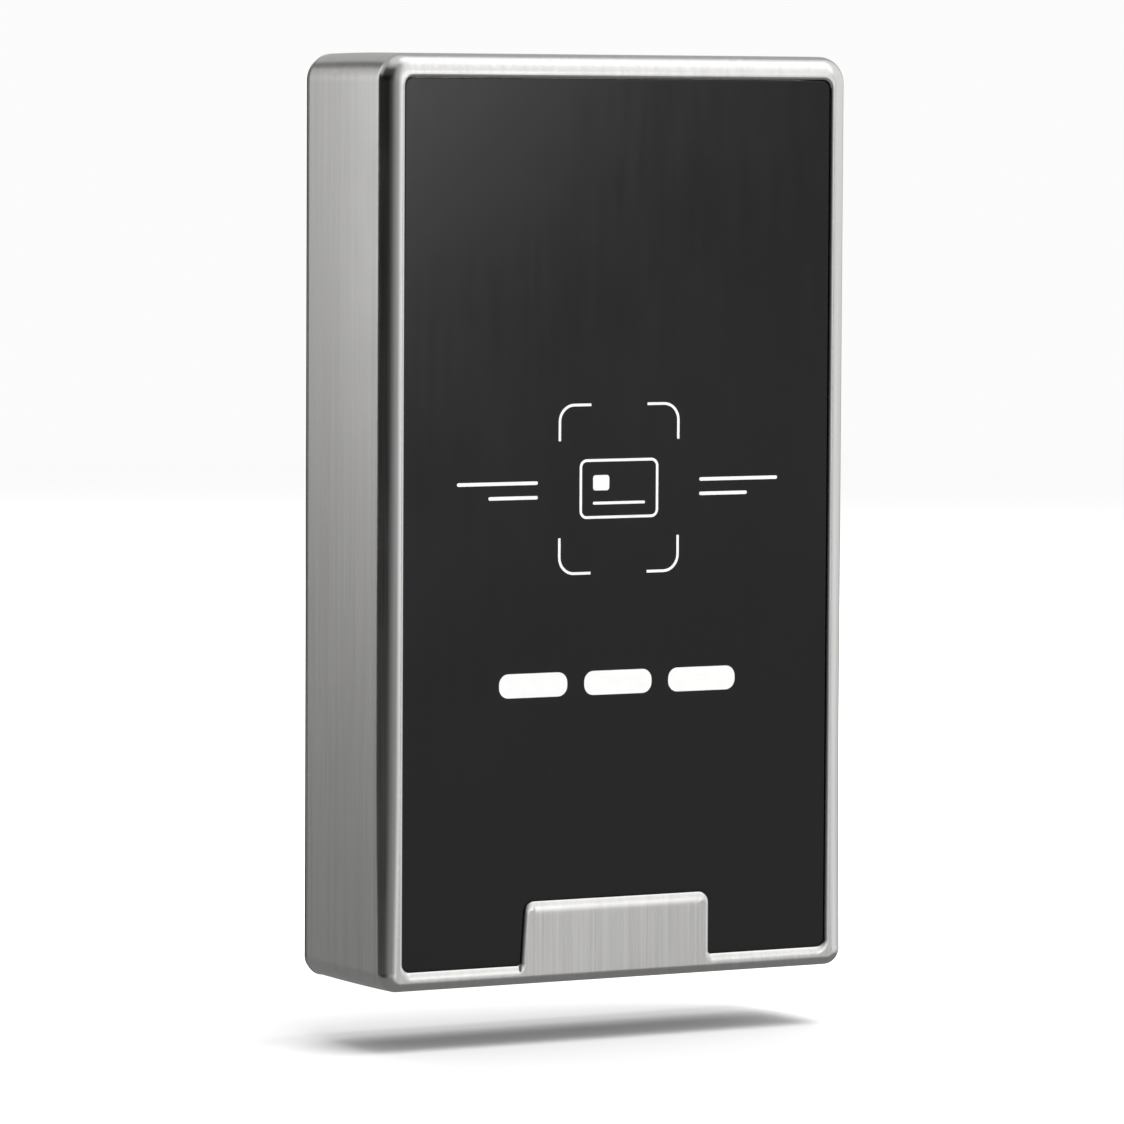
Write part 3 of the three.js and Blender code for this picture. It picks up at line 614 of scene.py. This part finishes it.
def make_finishes(colours):
    """Makes every finish, named after its slot."""
    moulded = {
        "black_plastic": (colours.black_plastic, 2400, 0.45, 0.62),
        "pale_plastic": (colours.pale_plastic, 1800, 0.4, 0.55),
        "chip_black": ((0.016, 0.016, 0.017), 4200, 0.5, 0.65),
        "led_body": ((0.8, 0.77, 0.66), 2600, 0.3, 0.45),
        "ferrite": ((0.045, 0.045, 0.05), 3200, 0.6, 0.8),
    }
    for slot, values in moulded.items():
        textured_plastic(finish_name(slot), *values)
    brushed_steel(finish_name("brushed_steel"), colours.steel)
    smoked_panel(finish_name("smoked_panel"), colours.window)
    plated_steel(finish_name("zinc_steel"), colours.zinc)
    circuit_board(finish_name("board_green"), colours.board)
    clear_plastic(finish_name("clear_plastic"))
    rubber(finish_name("black_rubber"), colours.rubber)
    rubber(finish_name("black_tape"), (0.015, 0.015, 0.015))
    # Screen-printed ink, uneven and soft.
    mottled(finish_name("white_print"), colours.print_white,
            (900, 3.0, 0.93, 1.05), (4200, 3.0, 0.40, 0.52), (4200, 3.0, 0.08, 0.00001))
    # Bright screws with fine turning marks and small stains.
    mottled(finish_name("screw_steel"), colours.bright_steel,
            (500, 4.0, 0.8, 1.1), (4200, 3.0, 0.22, 0.38), (4200, 3.0, 0.12, 0.00002), Metallic=1.0)
    # Enamelled copper laid in turns.
    mottled(finish_name("copper_wire"), colours.copper,
            (2600, 2.0, 0.6, 1.15), (200, 3.0, 0.25, 0.4), (2600, 2.0, 0.3, 0.00006), Metallic=1.0)
    # Dull tinned cans with faint smears.
    smears = (700, 4.0, (1, 1, 0.3))
    mottled(finish_name("shield_metal"), (0.62, 0.63, 0.64),
            (*smears, 0.8, 1.1), (*smears, 0.28, 0.46), (*smears, 0.1, 0.00004), Metallic=1.0)


def finish_name(slot):
    """The name of a slot's finish."""
    return f"{slot}_finish"


def coat(piece, slot):
    """Gives a piece the finish of a slot, made earlier by the finishes operator."""
    material = bpy.data.materials.get(finish_name(slot))
    if material is None:
        raise RuntimeError(f"the finish {slot} isn't made yet")
    piece.data.materials.clear()
    piece.data.materials.append(material)


# ---- operators --------------------------------------------------------------------------------------------


class READER_OT_finishes(bpy.types.Operator):
    """Makes every finish and puts it on the pieces that keep their CAD shape"""

    bl_idname = "reader.finishes"
    bl_label = "Finishes"

    def execute(self, context):
        """Makes the materials and assigns them by the record's slots."""
        make_finishes(context.scene.reader_colours)
        for part in frame["record"]["subparts"]:
            material = bpy.data.materials[finish_name(part["material_slot"])]
            for material_slot in frame["nodes"][part["node"]].material_slots:
                material_slot.link = "OBJECT"
                material_slot.material = material
        return {"FINISHED"}


class READER_OT_housing(bpy.types.Operator):
    """Models the metal housing with its rounded rim and its tongue"""

    bl_idname = "reader.housing"
    bl_label = "Housing"

    def execute(self, context):
        """Makes the outer block with the window pocket, then cuts the rear out of it."""
        sizes = context.scene.reader_sizes
        piece = self.block(sizes)
        self.hollow(piece, sizes)
        smooth(piece)
        stand_for(piece, "housing", READER, "brushed_steel")
        return {"FINISHED"}

    def block(self, sizes):
        """The closed outer shape: rear edge, sides, front rounding, rim, inner rounding, window pocket."""
        bm = bmesh.new()
        outer, inner = housing_outline(sizes), window_outline(sizes)
        front, rear = HOUSING_LOW.y, HOUSING_HIGH.y
        support, steps, edge = 0.04 * MM, sizes.corner_steps, sizes.rear_rounding
        ring = start_ring(bm, outer.at(edge), rear)
        fill(bm, ring)
        for sine, cosine in quarter_turn(3, first=1):
            ring = extrude_ring(bm, ring, outer.at(edge * (1 - sine)), rear - edge * (1 - cosine))
        # The rounding's depth follows its width, but narrows faster.
        low, side = sizes.bottom_rounding, sizes.front_rounding
        shares = [(rounding - low) / (side - low) for rounding in outer.roundings()]
        widths = [low + (side - low) * max(share, 0.0) ** 3 for share in shares]
        start, bands = rear - edge - support, 8
        for band in range(bands + 1):
            share = band / bands
            depths = [start + (front + width + support - start) * share for width in widths]
            ring = extrude_ring(bm, ring, outer.at(sizes.side_bow * (2 * share - 1) ** 2), depths)
        for step, (sine, cosine) in enumerate(quarter_turn(steps)):
            bow = sizes.side_bow * (1 - step / steps)
            depths = [front + width * (1 - sine) for width in widths]
            ring = extrude_ring(bm, ring, outer.at(bow, 1 - cosine), depths)
        outer_crown = extrude_ring(bm, ring, outer.at(support, 1), front)
        ring = start_ring(bm, inner.at(support, 1), front)
        fill(bm, outer_crown, ring)
        recess = WINDOW_LOW.y - front
        falls = [min(rounding, recess - support) for rounding in inner.roundings()]
        for sine, cosine in quarter_turn(steps):
            depths = [front + fall * (1 - cosine) for fall in falls]
            ring = extrude_ring(bm, ring, inner.at(share=1 - sine), depths)
        for depth in (front + recess, TAPE_HIGH.y):
            ring = extrude_ring(bm, ring, inner.at(), depth)
        fill(bm, ring)
        return finish_mesh(bm, "housing_shell")

    def hollow(self, piece, sizes):
        """Cuts the ledge opening, the electronics room and the lock room, and adds the lock boss."""
        wall, seat, behind = sizes.wall, 0.05 * MM, 6 * MM
        ledge_rear = TAPE_HIGH.y + seat + 2.0 * MM
        ledge_x, x1 = TAPE_HIGH.x - 2.75 * MM, HOUSING_HIGH.x - wall
        foot, low, high = HOUSING_LOW.z, HOUSING_LOW.z + wall, HOUSING_HIGH.z - wall
        partition_top = COVER_LOW.z - 0.3 * MM
        shelf = partition_top - 2.0 * MM
        cover_front = SEAL_HIGH.y + seat
        cover_rear = cover_front + 1.8 * MM
        ledge = rectangle(-ledge_x, ledge_x, partition_top, high - 4.2 * MM, 1.6 * MM)
        for outline, y0, y1 in (
            (ledge, TAPE_LOW.y, ledge_rear + MM),
            (rectangle(-x1, x1, partition_top, high, 1.6 * MM), ledge_rear, behind),
            (rectangle(-x1, x1, low, shelf, 1.0 * MM), ledge_rear, behind),
            (rectangle(-x1, x1, low, high, 1.2 * MM), cover_rear, behind),
        ):
            combine(piece, block_piece(outline, y0, y1), "DIFFERENCE")
        post, hole = 2.6 * MM, 1.45 * MM
        for number in COVER_SCREWS:
            screw_low, screw_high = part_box(f"cover_screw_{number}")
            middle = (screw_low + screw_high) / 2
            combine(piece, rod_piece(post, middle, "Y", ledge_rear - MM, cover_front - seat), "UNION")
            combine(piece, rod_piece(hole, middle, "Y", screw_low.y - seat, behind), "DIFFERENCE")
        lock_y, boss = (LOCK_LOW.y + LOCK_HIGH.y) / 2, 5.5 * MM
        outline = rectangle(-boss, boss, foot + MM, foot + 4.2 * MM, 0.3 * MM, 2)
        combine(piece, block_piece(outline, lock_y - boss, HOUSING_HIGH.y - wall), "UNION")
        # A small casting nick beside the tongue's left foot.
        x, z = -sizes.tongue_width / 2 - sizes.tongue_lean, foot + sizes.rim_bottom
        nick = rectangle(x - 0.42 * MM, x - 0.02 * MM, z - 0.75 * MM, z + 0.6 * MM, 0.18 * MM, 6)
        combine(piece, block_piece(nick, HOUSING_LOW.y - MM, WINDOW_LOW.y + 0.1 * MM), "DIFFERENCE")
        # The counterbore for the lock screw's head, then the hole for its shank.
        head = (LOCK_HIGH.x - LOCK_LOW.x) / 2 + 0.2 * MM
        for radius, top in ((head, 2.2 * MM), (1.7 * MM, 8 * MM)):
            combine(piece, rod_piece(radius, (0, lock_y, 0), "Z", foot - MM, foot + top), "DIFFERENCE")


class READER_OT_window(bpy.types.Operator):
    """Models the smoked front window"""

    bl_idname = "reader.window"
    bl_label = "Window"

    def execute(self, context):
        """Makes the notched panel with a softened edge."""
        outline = window_outline(context.scene.reader_sizes)
        gap, edge = 0.06 * MM, 0.12 * MM
        front = WINDOW_LOW.y
        bm = bmesh.new()
        ring = start_ring(bm, outline.at(-gap - 1.5 * edge), front)
        fill(bm, ring)
        for sine, cosine in quarter_turn(4):
            ring = extrude_ring(bm, ring, outline.at(-gap - edge * (1 - sine)), front + edge * (1 - cosine))
        fill(bm, extrude_ring(bm, ring, outline.at(-gap), WINDOW_HIGH.y))
        stand_for(finish_mesh(bm, "window_panel"), "front_window", READER, "smoked_panel")
        return {"FINISHED"}


class READER_OT_printed_symbol(bpy.types.Operator):
    """Prints a plain "hold card here" target and three plain bars on the window"""

    bl_idname = "reader.printed_symbol"
    bl_label = "Printed symbol"

    def execute(self, context):
        """Makes the target, the card, the rules and the bars as thin layers of ink."""
        middle = 3.8 * MM
        self.target(middle)
        self.card(middle)
        self.rules(middle)
        self.bars(-20.3 * MM)
        return {"FINISHED"}

    def lay(self, name, outlines, holes=()):
        """Inks outlines as one piece; holes has one inner outline for each outline, or none."""
        bm = bmesh.new()
        front, rear = WINDOW_LOW.y - 0.02 * MM, WINDOW_LOW.y + 0.01 * MM
        for index, outline in enumerate(outlines):
            rears, fronts = [], []
            for rim in (outline, *holes[index:index + 1]):
                rears.append(start_ring(bm, rim.at(), rear))
                fronts.append(extrude_ring(bm, rears[-1], rim.at(), front))
            fill(bm, *rears)
            fill(bm, *fronts)
        piece = finish_mesh(bm, name)
        coat(piece, "white_print")
        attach(piece, READER)

    def target(self, middle):
        """Four corner brackets round the card."""
        sides = [(side_x, side_z) for side_x in (-1, 1) for side_z in (-1, 1)]
        self.lay("printed_target", [self.bracket(side_x, side_z, middle) for side_x, side_z in sides])

    def bracket(self, side_x, side_z, middle):
        """One L-shaped bracket with a round corner."""
        half_x, half_z, arm, stroke, radius = 8.6 * MM, 10.6 * MM, 4.6 * MM, STROKE, 2.2 * MM
        corner_x, corner_z, reach = half_x - radius, half_z - radius, radius - stroke
        outer, inner = [(half_x, half_z - arm)], [(half_x - arm, half_z - stroke)]
        for sine, cosine in quarter_turn(8):
            outer.append((corner_x + radius * cosine, corner_z + radius * sine))
            inner.append((corner_x + reach * sine, corner_z + reach * cosine))
        outer.append((half_x - arm, half_z))
        inner.append((half_x - stroke, half_z - arm))
        outline = Outline(8)
        for x, z in outer + inner:
            outline.add(side_x * x, side_z * z + middle, 0, 0, 0)
        return outline

    def card(self, middle):
        """A card's outline with its contact square and a line."""
        x, z, corner = 5.6 * MM, 3.7 * MM, 1.0 * MM
        outer = rectangle(-x, x, middle - z, middle + z, corner)
        x, z = x - STROKE, z - STROKE
        inner = rectangle(-x, x, middle - z, middle + z, corner - STROKE)
        self.lay("printed_card", [outer], [inner])
        chip = rectangle(-3.7 * MM, -1.4 * MM, middle - 0.2 * MM, middle + 1.7 * MM, 0.35 * MM, 4)
        line = rectangle(-3.7 * MM, 3.7 * MM, middle - 1.95 * MM, middle - 1.6 * MM, 0.12 * MM, 3)
        self.lay("printed_card_detail", [chip, line])

    def rules(self, middle):
        """A long and a short rule on each side of the target."""
        outlines = []
        half = 0.22 * MM
        for side in (-1, 1):
            for near, far, lift in ((11.5, 22.8, 0.9), (11.5, 18.4, -0.9)):
                x0, x1 = sorted((side * near * MM, side * far * MM))
                level = middle + lift * MM
                outlines.append(rectangle(x0, x1, level - half, level + half, 0.2 * MM, 3))
        self.lay("printed_rules", outlines)

    def bars(self, level):
        """Three round-ended bars, as status marks."""
        width, gap, half = 9.6 * MM, 2.4 * MM, 1.5 * MM
        outlines = []
        for place in (-1, 0, 1):
            x = place * (width + gap)
            outlines.append(rectangle(x - width / 2, x + width / 2, level - half, level + half, 1.3 * MM))
        self.lay("printed_bars", outlines)


class READER_OT_wall_gasket(bpy.types.Operator):
    """Models the rubber gasket between the housing and the wall"""

    bl_idname = "reader.wall_gasket"
    bl_label = "Wall gasket"

    def execute(self, context):
        """Makes a ring with rounded outer edges and a shallow groove round its side."""
        sizes = context.scene.reader_sizes
        outline = housing_outline(sizes)
        inset = HOUSING_HIGH.x - GASKET_HIGH.x
        front, rear = GASKET_LOW.y, GASKET_HIGH.y
        # Each step of the side: how far in, in millimetres, and the share of the thickness.
        profile = [(0.25, 0.0), (0.08, 0.06), (0.0, 0.2), (0.0, 0.42), (0.1, 0.5), (0.0, 0.58), (0.0, 0.8),
                   (0.08, 0.94), (0.25, 1.0)]
        bm = bmesh.new()
        ring = first = start_ring(bm, outline.at(inset + profile[0][0] * MM), front)
        for inward, share in profile[1:]:
            ring = extrude_ring(bm, ring, outline.at(inset + inward * MM), front + share * (rear - front))
        inner_rear = start_ring(bm, outline.at(sizes.wall), rear)
        fill(bm, ring, inner_rear)
        fill(bm, first, extrude_ring(bm, inner_rear, outline.at(sizes.wall), front))
        stand_for(finish_mesh(bm, "gasket_ring"), "wall_gasket", READER, "black_rubber")
        return {"FINISHED"}


class READER_OT_turned_parts(bpy.types.Operator):
    """Models the round parts: lock screw, cable grommet, tamper plunger and cover screws"""

    bl_idname = "reader.turned_parts"
    bl_label = "Turned parts"

    def execute(self, context):
        """Makes each turned part."""
        self.lock_screw()
        self.grommet()
        self.plunger()
        for number in COVER_SCREWS:
            self.cover_screw(number)
        return {"FINISHED"}

    def lock_screw(self):
        """Screw with a chamfered head, a pinned hexagonal socket and a threaded shank."""
        radius, shank, pitch = (LOCK_HIGH.x - LOCK_LOW.x) / 2, 1.5 * MM, 0.5 * MM
        socket, pin = 1.25 * MM, 0.45 * MM
        y, z0, z1 = (LOCK_LOW.y + LOCK_HIGH.y) / 2, LOCK_LOW.z, LOCK_HIGH.z
        head, lip = z0 + 2.0 * MM, z0 + 0.02 * MM
        thread_start = head + 4 * MM
        points = [(socket, lip), (radius - 0.3 * MM, z0), (radius, z0 + 0.35 * MM), (radius, head),
                  (shank, head), (shank, thread_start)]
        profile = rounded_profile(points, 0.15 * MM)
        for turn in range(int((z1 - 0.5 * MM - thread_start) / pitch)):
            level = thread_start + turn * pitch
            profile += [(shank - 0.26 * MM, level + pitch * 0.5), (shank, level + pitch * 0.88),
                        (shank, level + pitch)]
        profile += [(shank - 0.4 * MM, z1), (0, z1)]
        bm = turned(profile, (0, y, 0), "Z", 48)
        bmesh.ops.remove_doubles(bm, verts=bm.verts, dist=SAME_PLACE)
        rim = [v for v in bm.verts if abs(v.co.z - lip) < SAME_PLACE and
               math.hypot(v.co.x, v.co.y - y) < socket + 10 * SAME_PLACE]
        rim.sort(key=lambda v: math.atan2(v.co.y - y, v.co.x))
        corner = math.pi / 3
        hexagon, peg = [], []
        for vert in rim:
            angle = math.atan2(vert.co.y - y, vert.co.x)
            reach = socket * math.cos(corner / 2) / math.cos((angle + corner / 2) % corner - corner / 2)
            hexagon.append((reach * math.cos(angle), reach * math.sin(angle)))
            peg.append((pin * math.cos(angle), pin * math.sin(angle)))
        # Down into the socket, across its floor and up the pin.
        ring, floor = rim, z0 + 1.25 * MM
        for points, z in ((hexagon, z0 + 0.15 * MM), (hexagon, floor), (peg, floor), (peg, z0 + 0.35 * MM)):
            ring = pull_ring(bm, ring, [(across, y + along, z) for across, along in points])
        fill(bm, ring)
        piece = finish_mesh(bm, "lock_screw_turned", sharp=28)
        stand_for(piece, "lock_screw", "lock_screw", "screw_steel")

    def spin(self, name, node, points, rounding, steps, sharp=40):
        """Spins a rounded profile of (radius, y) points about the middle of a CAD node."""
        low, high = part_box(node)
        centre = ((low.x + high.x) / 2, 0, (low.z + high.z) / 2)
        return finish_mesh(turned(rounded_profile(points, rounding), centre, "Y", steps), name, sharp)

    def grommet(self):
        """Rubber grommet with two flanges and a soft tapered lip."""
        low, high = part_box("cable_grommet")
        bore, radius = 3.6 * MM, (high.x - low.x) / 2
        neck = radius - 1.1 * MM
        front, rear, flange = low.y + 1.15 * MM, low.y + 3.05 * MM, low.y + 4.2 * MM
        points = [(bore, low.y), (radius, low.y), (radius, front), (neck, front), (neck, rear),
                  (radius, rear), (radius, flange), (bore + 1.3 * MM, low.y + 4.5 * MM),
                  (bore + 0.7 * MM, high.y), (bore, high.y), (bore, low.y)]
        piece = self.spin("grommet_turned", "cable_grommet", points, 0.3 * MM, 56)
        stand_for(piece, "cable_grommet", READER, "black_rubber")

    def plunger(self):
        """Moulded plunger with a domed tip, a flange and a pin."""
        low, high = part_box("tamper_plunger")
        flange, stem, pin = (high.x - low.x) / 2, 1.5 * MM, 0.9 * MM
        front = low.y + 1.5 * MM
        rear = front + 0.55 * MM
        points = [(0, low.y), (pin, low.y), (pin, front), (flange, front), (flange, rear), (stem, rear),
                  (stem, high.y - 0.5 * MM), (stem * 0.6, high.y - 0.05 * MM), (0, high.y)]
        piece = self.spin("plunger_turned", "tamper_plunger", points, 0.25 * MM, 40, 45)
        stand_for(piece, "tamper_plunger", "tamper_plunger", "pale_plastic")

    def cover_screw(self, number):
        """Pan-head screw of the rear cover, with a cross recess."""
        node = f"cover_screw_{number}"
        low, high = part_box(node)
        head, shank, seat = 2.3 * MM, 1.25 * MM, high.y - 1.3 * MM
        points = [(0, low.y), (shank * 0.7, low.y), (shank, low.y + 0.6 * MM), (shank, seat), (head, seat),
                  (head, seat + 0.5 * MM), (head * 0.8, high.y - 0.12 * MM), (0, high.y)]
        piece = self.spin(f"cover_screw_turned_{number}", node, points, 0.3 * MM, 36)
        x, _, z = (low + high) / 2
        arm, half = 1.25 * MM, 0.28 * MM
        for across, up in ((arm, half), (half, arm)):
            outline = rectangle(x - across, x + across, z - up, z + up, 0.12 * MM, 2)
            combine(piece, block_piece(outline, high.y - 0.8 * MM, high.y + MM), "DIFFERENCE")
        smooth(piece, 35)
        stand_for(piece, node, READER, "screw_steel")


class READER_OT_softened_parts(bpy.types.Operator):
    """Softens the edges of the parts whose CAD shape is right: wall plate, rear cover, lock nut"""

    bl_idname = "reader.softened_parts"
    bl_label = "Softened parts"

    parts = (
        ("wall_plate", WALL, "zinc_steel", 0.18 * MM),
        ("lock_nut", WALL, "screw_steel", 0.18 * MM),
        ("rear_cover", READER, "black_plastic", 0.14 * MM),
    )

    def execute(self, context):
        """Copies, merges and bevels each part."""
        for node, body, slot, width in self.parts:
            stand_for(self.soften(node, width), node, body, slot)
        return {"FINISHED"}

    def soften(self, node, width):
        """A merged copy of a CAD node, its flats joined and its edges bevelled."""
        bm = bmesh.new()
        bm.from_mesh(frame["nodes"][node].data)
        bmesh.ops.remove_doubles(bm, verts=bm.verts, dist=20 * SAME_PLACE)
        bmesh.ops.dissolve_limit(
            bm, angle_limit=math.radians(0.5), use_dissolve_boundaries=False, verts=bm.verts, edges=bm.edges
        )
        piece = finish_object(bm, f"{node}_softened", 38)
        bevel = piece.modifiers.new("Softened edges", "BEVEL")
        bevel.width = width
        bevel.segments = 2
        bevel.limit_method = "ANGLE"
        bevel.angle_limit = math.radians(50)
        bevel.harden_normals = True
        return piece


class READER_OT_stage(bpy.types.Operator):
    """Sets the floor, the soft lights and the camera"""

    bl_idname = "reader.stage"
    bl_label = "Stage"

    def execute(self, context):
        """Makes the floor, world, lights and camera."""
        scene = context.scene
        scene.view_settings.view_transform = "Standard"
        self.floor(scene.reader_stage)
        self.world(scene)
        self.lights()
        self.camera(scene)
        return {"FINISHED"}

    def floor(self, stage):
        """A wide plain pale floor that runs out into the backdrop and is clear from below."""
        bm = bmesh.new()
        bmesh.ops.create_grid(bm, x_segments=1, y_segments=1, size=6.0)
        bmesh.ops.translate(bm, verts=bm.verts, vec=(0, 0, HOUSING_LOW.z - stage.floor_drop))
        piece = finish_mesh(bm, "floor")
        tree, shader = new_material("pale_floor")
        tint = shades(tree, object_noise(tree, 3, 3.0), stage.floor, 0.99, 1.01)
        dress(tree, shader, {"Base Color": tint, "Roughness": 0.7})
        reach = add_node(tree, "ShaderNodeVectorMath", operation="LENGTH", Vector=object_place(tree))
        far = smooth_step(tree, reach.outputs["Value"], 0.35, 1.6)
        glow = add_node(tree, "ShaderNodeEmission", Strength=stage.backdrop_light)
        cove = mix_shaders(tree, far, shader.outputs["BSDF"], glow.outputs["Emission"])
        below = add_node(tree, "ShaderNodeNewGeometry").outputs["Backfacing"]
        clear = add_node(tree, "ShaderNodeBsdfTransparent").outputs["BSDF"]
        feed(tree, tree.nodes["Material Output"].inputs["Surface"], mix_shaders(tree, below, cove, clear))
        piece.data.materials.append(bpy.data.materials["pale_floor"])
        piece.visible_glossy = False

    def world(self, scene):
        """Soft surroundings: a pale backdrop, soft boxes in front and a dark side on the left."""
        stage = scene.reader_stage
        world = bpy.data.worlds.new("studio")
        world.use_nodes = True
        tree = world.node_tree
        place = add_node(tree, "ShaderNodeTexCoord").outputs["Generated"]
        x, y, z = add_node(tree, "ShaderNodeSeparateXYZ", Vector=place).outputs
        turn = reckon(tree, "ARCTAN2", x, reckon(tree, "MULTIPLY", y, -1.0))
        rise = reckon(tree, "ARCSINE", z)
        slant = reckon(tree, "SUBTRACT", rise, turn)
        sky = self.ramp(tree, rise, -5, -0.5)
        sky = reckon(tree, "MULTIPLY", sky, stage.upper_light - stage.lower_light)
        level = reckon(tree, "ADD", sky, stage.lower_light)
        # Patches of added light, then patches that take a share of the light away.
        for boxes, light in (
            (((turn, 9, 110, 28, 32), (slant, -28.6, 150, 3.4), (rise, -11, 110, 12)), stage.front_light),
            (((turn, 9, 75, 28, 32), (rise, -16, -2, 4)), stage.low_light),
            (((turn, 39, 118, 8), (rise, -14, 70, 10)), stage.right_light),
            (((turn, -151, -141, 4), (rise, -3, 34, 4)), stage.strip_light),
            (((rise, 60, 110, 12),), stage.top_light),
            (((turn, 24, 31, 2), (slant, -28.3, 150, 2.4), (rise, -4, 6, 3)), stage.sheen_light),
        ):
            level = reckon(tree, "ADD", level, self.patch(tree, boxes, light))
        for boxes, share in (
            (((turn, -141, -44, 6, 36), (rise, -9, 17, 7)), stage.side_dark),
            (((turn, -110, -24, 20, 32), (rise, -2, 46, 7, 14)), 0.9),
            (((turn, -177, -161, 5), (rise, 20, 31, 4)), 0.75),
        ):
            keep = reckon(tree, "SUBTRACT", 1.0, self.patch(tree, boxes, share))
            level = reckon(tree, "MULTIPLY", level, keep)
        seen = add_node(tree, "ShaderNodeLightPath").outputs["Is Camera Ray"]
        values = {"data_type": "FLOAT", "Factor": seen, "A": level, "B": stage.backdrop_light}
        strength = add_node(tree, "ShaderNodeMix", **values)
        background = tree.nodes["Background"]
        feed(tree, background.inputs["Strength"], strength.outputs["Result"])
        feed(tree, background.inputs["Color"], (1.0, 1.0, 1.0, 1))
        scene.world = world

    def patch(self, tree, boxes, strength):
        """A soft-edged patch: each of boxes is an angle output, its start, its stop and their softness."""
        value = strength
        for angle, start, stop, *softness in boxes:
            soft_start, soft_stop = softness[0] / 2, softness[-1] / 2
            rise = self.ramp(tree, angle, start - soft_start, start + soft_start)
            fall = self.ramp(tree, angle, stop + soft_stop, stop - soft_stop)
            value = reckon(tree, "MULTIPLY", reckon(tree, "MULTIPLY", rise, fall), value)
        return value

    def ramp(self, tree, angle, low, high):
        """Smooth step from 0 to 1 between two angles in degrees."""
        return smooth_step(tree, angle, math.radians(low), math.radians(high))

    def lights(self):
        """A light above for the shadow and the upper edges, and one behind."""
        self.soft_light("top_light", (0.15, -0.2, 0.9), 0.7, 0.6, 7)
        self.soft_light("rear_light", (0.2, 0.75, 0.75), 0.6, 0.5, 8)

    def soft_light(self, name, place, size_x, size_y, power):
        """A rectangular soft light aimed at the reader."""
        data = bpy.data.lights.new(name, "AREA")
        data.shape = "RECTANGLE"
        data.size, data.size_y = size_x, size_y
        data.energy = power
        light = bpy.data.objects.new(name, data)
        light.location = place
        light.rotation_euler = (Vector((0, -0.01, 0)) - Vector(place)).to_track_quat("-Z", "Y").to_euler()
        light.visible_camera = False
        light.visible_glossy = False
        bpy.context.scene.collection.objects.link(light)

    def camera(self, scene):
        """Camera seen from the front left, a little above the middle."""
        yaw, pitch, roll = math.radians(29.005), math.radians(3.832), math.radians(0.3035)
        away, aside, above = 0.858377, 0.003744, 0.050696
        forward = Vector((math.sin(yaw) * math.cos(pitch), math.cos(yaw) * math.cos(pitch), -math.sin(pitch)))
        level = Vector((math.cos(yaw), -math.sin(yaw), 0))
        upright = level.cross(forward)
        right = math.cos(roll) * level + math.sin(roll) * upright
        up = -math.sin(roll) * level + math.cos(roll) * upright
        place = Vector((0, 0, HOUSING_LOW.z)) - away * forward + aside * right + above * up
        data = bpy.data.cameras.new("camera")
        data.sensor_width = 36
        data.lens = scene.reader_stage.lens
        camera = bpy.data.objects.new("camera", data)
        camera.matrix_world = Matrix.Translation(place) @ Matrix((right, up, -forward)).transposed().to_4x4()
        scene.collection.objects.link(camera)
        scene.camera = camera


class READER_PT_panel(bpy.types.Panel):
    """Lists the reader's operators, sizes and colours."""

    bl_idname = "READER_PT_panel"
    bl_label = "Access Reader"
    bl_space_type = "VIEW_3D"
    bl_region_type = "UI"
    bl_category = "Access Reader"

    def draw(self, context):
        """Draws a button for each operator, then the settings."""
        for operator in OPERATORS:
            self.layout.operator(operator.bl_idname)
        for group in SETTINGS:
            settings = getattr(context.scene, group)
            box = self.layout.box()
            for name in settings.__annotations__:
                box.prop(settings, name)


OPERATORS = (
    READER_OT_finishes,
    READER_OT_housing,
    READER_OT_window,
    READER_OT_printed_symbol,
    READER_OT_wall_gasket,
    READER_OT_turned_parts,
    READER_OT_softened_parts,
    READER_OT_stage,
)
SETTINGS = {"reader_sizes": ReaderSizes, "reader_colours": ReaderColours, "reader_stage": StageSettings}


def register():
    """Registers the settings, operators and panel."""
    for name, group in SETTINGS.items():
        bpy.utils.register_class(group)
        setattr(bpy.types.Scene, name, PointerProperty(type=group))
    for operator in (*OPERATORS, READER_PT_panel):
        bpy.utils.register_class(operator)


def unregister():
    """Takes them away again."""
    for operator in reversed((*OPERATORS, READER_PT_panel)):
        bpy.utils.unregister_class(operator)
    for name, group in reversed(SETTINGS.items()):
        delattr(bpy.types.Scene, name)
        bpy.utils.unregister_class(group)


def main():
    register()
    bpy.ops.reader.finishes()
    bpy.ops.reader.housing()
    bpy.ops.reader.window()
    bpy.ops.reader.printed_symbol()
    bpy.ops.reader.wall_gasket()
    bpy.ops.reader.turned_parts()
    bpy.ops.reader.softened_parts()
    bpy.ops.reader.stage()


if __name__ == "__main__":
    main()
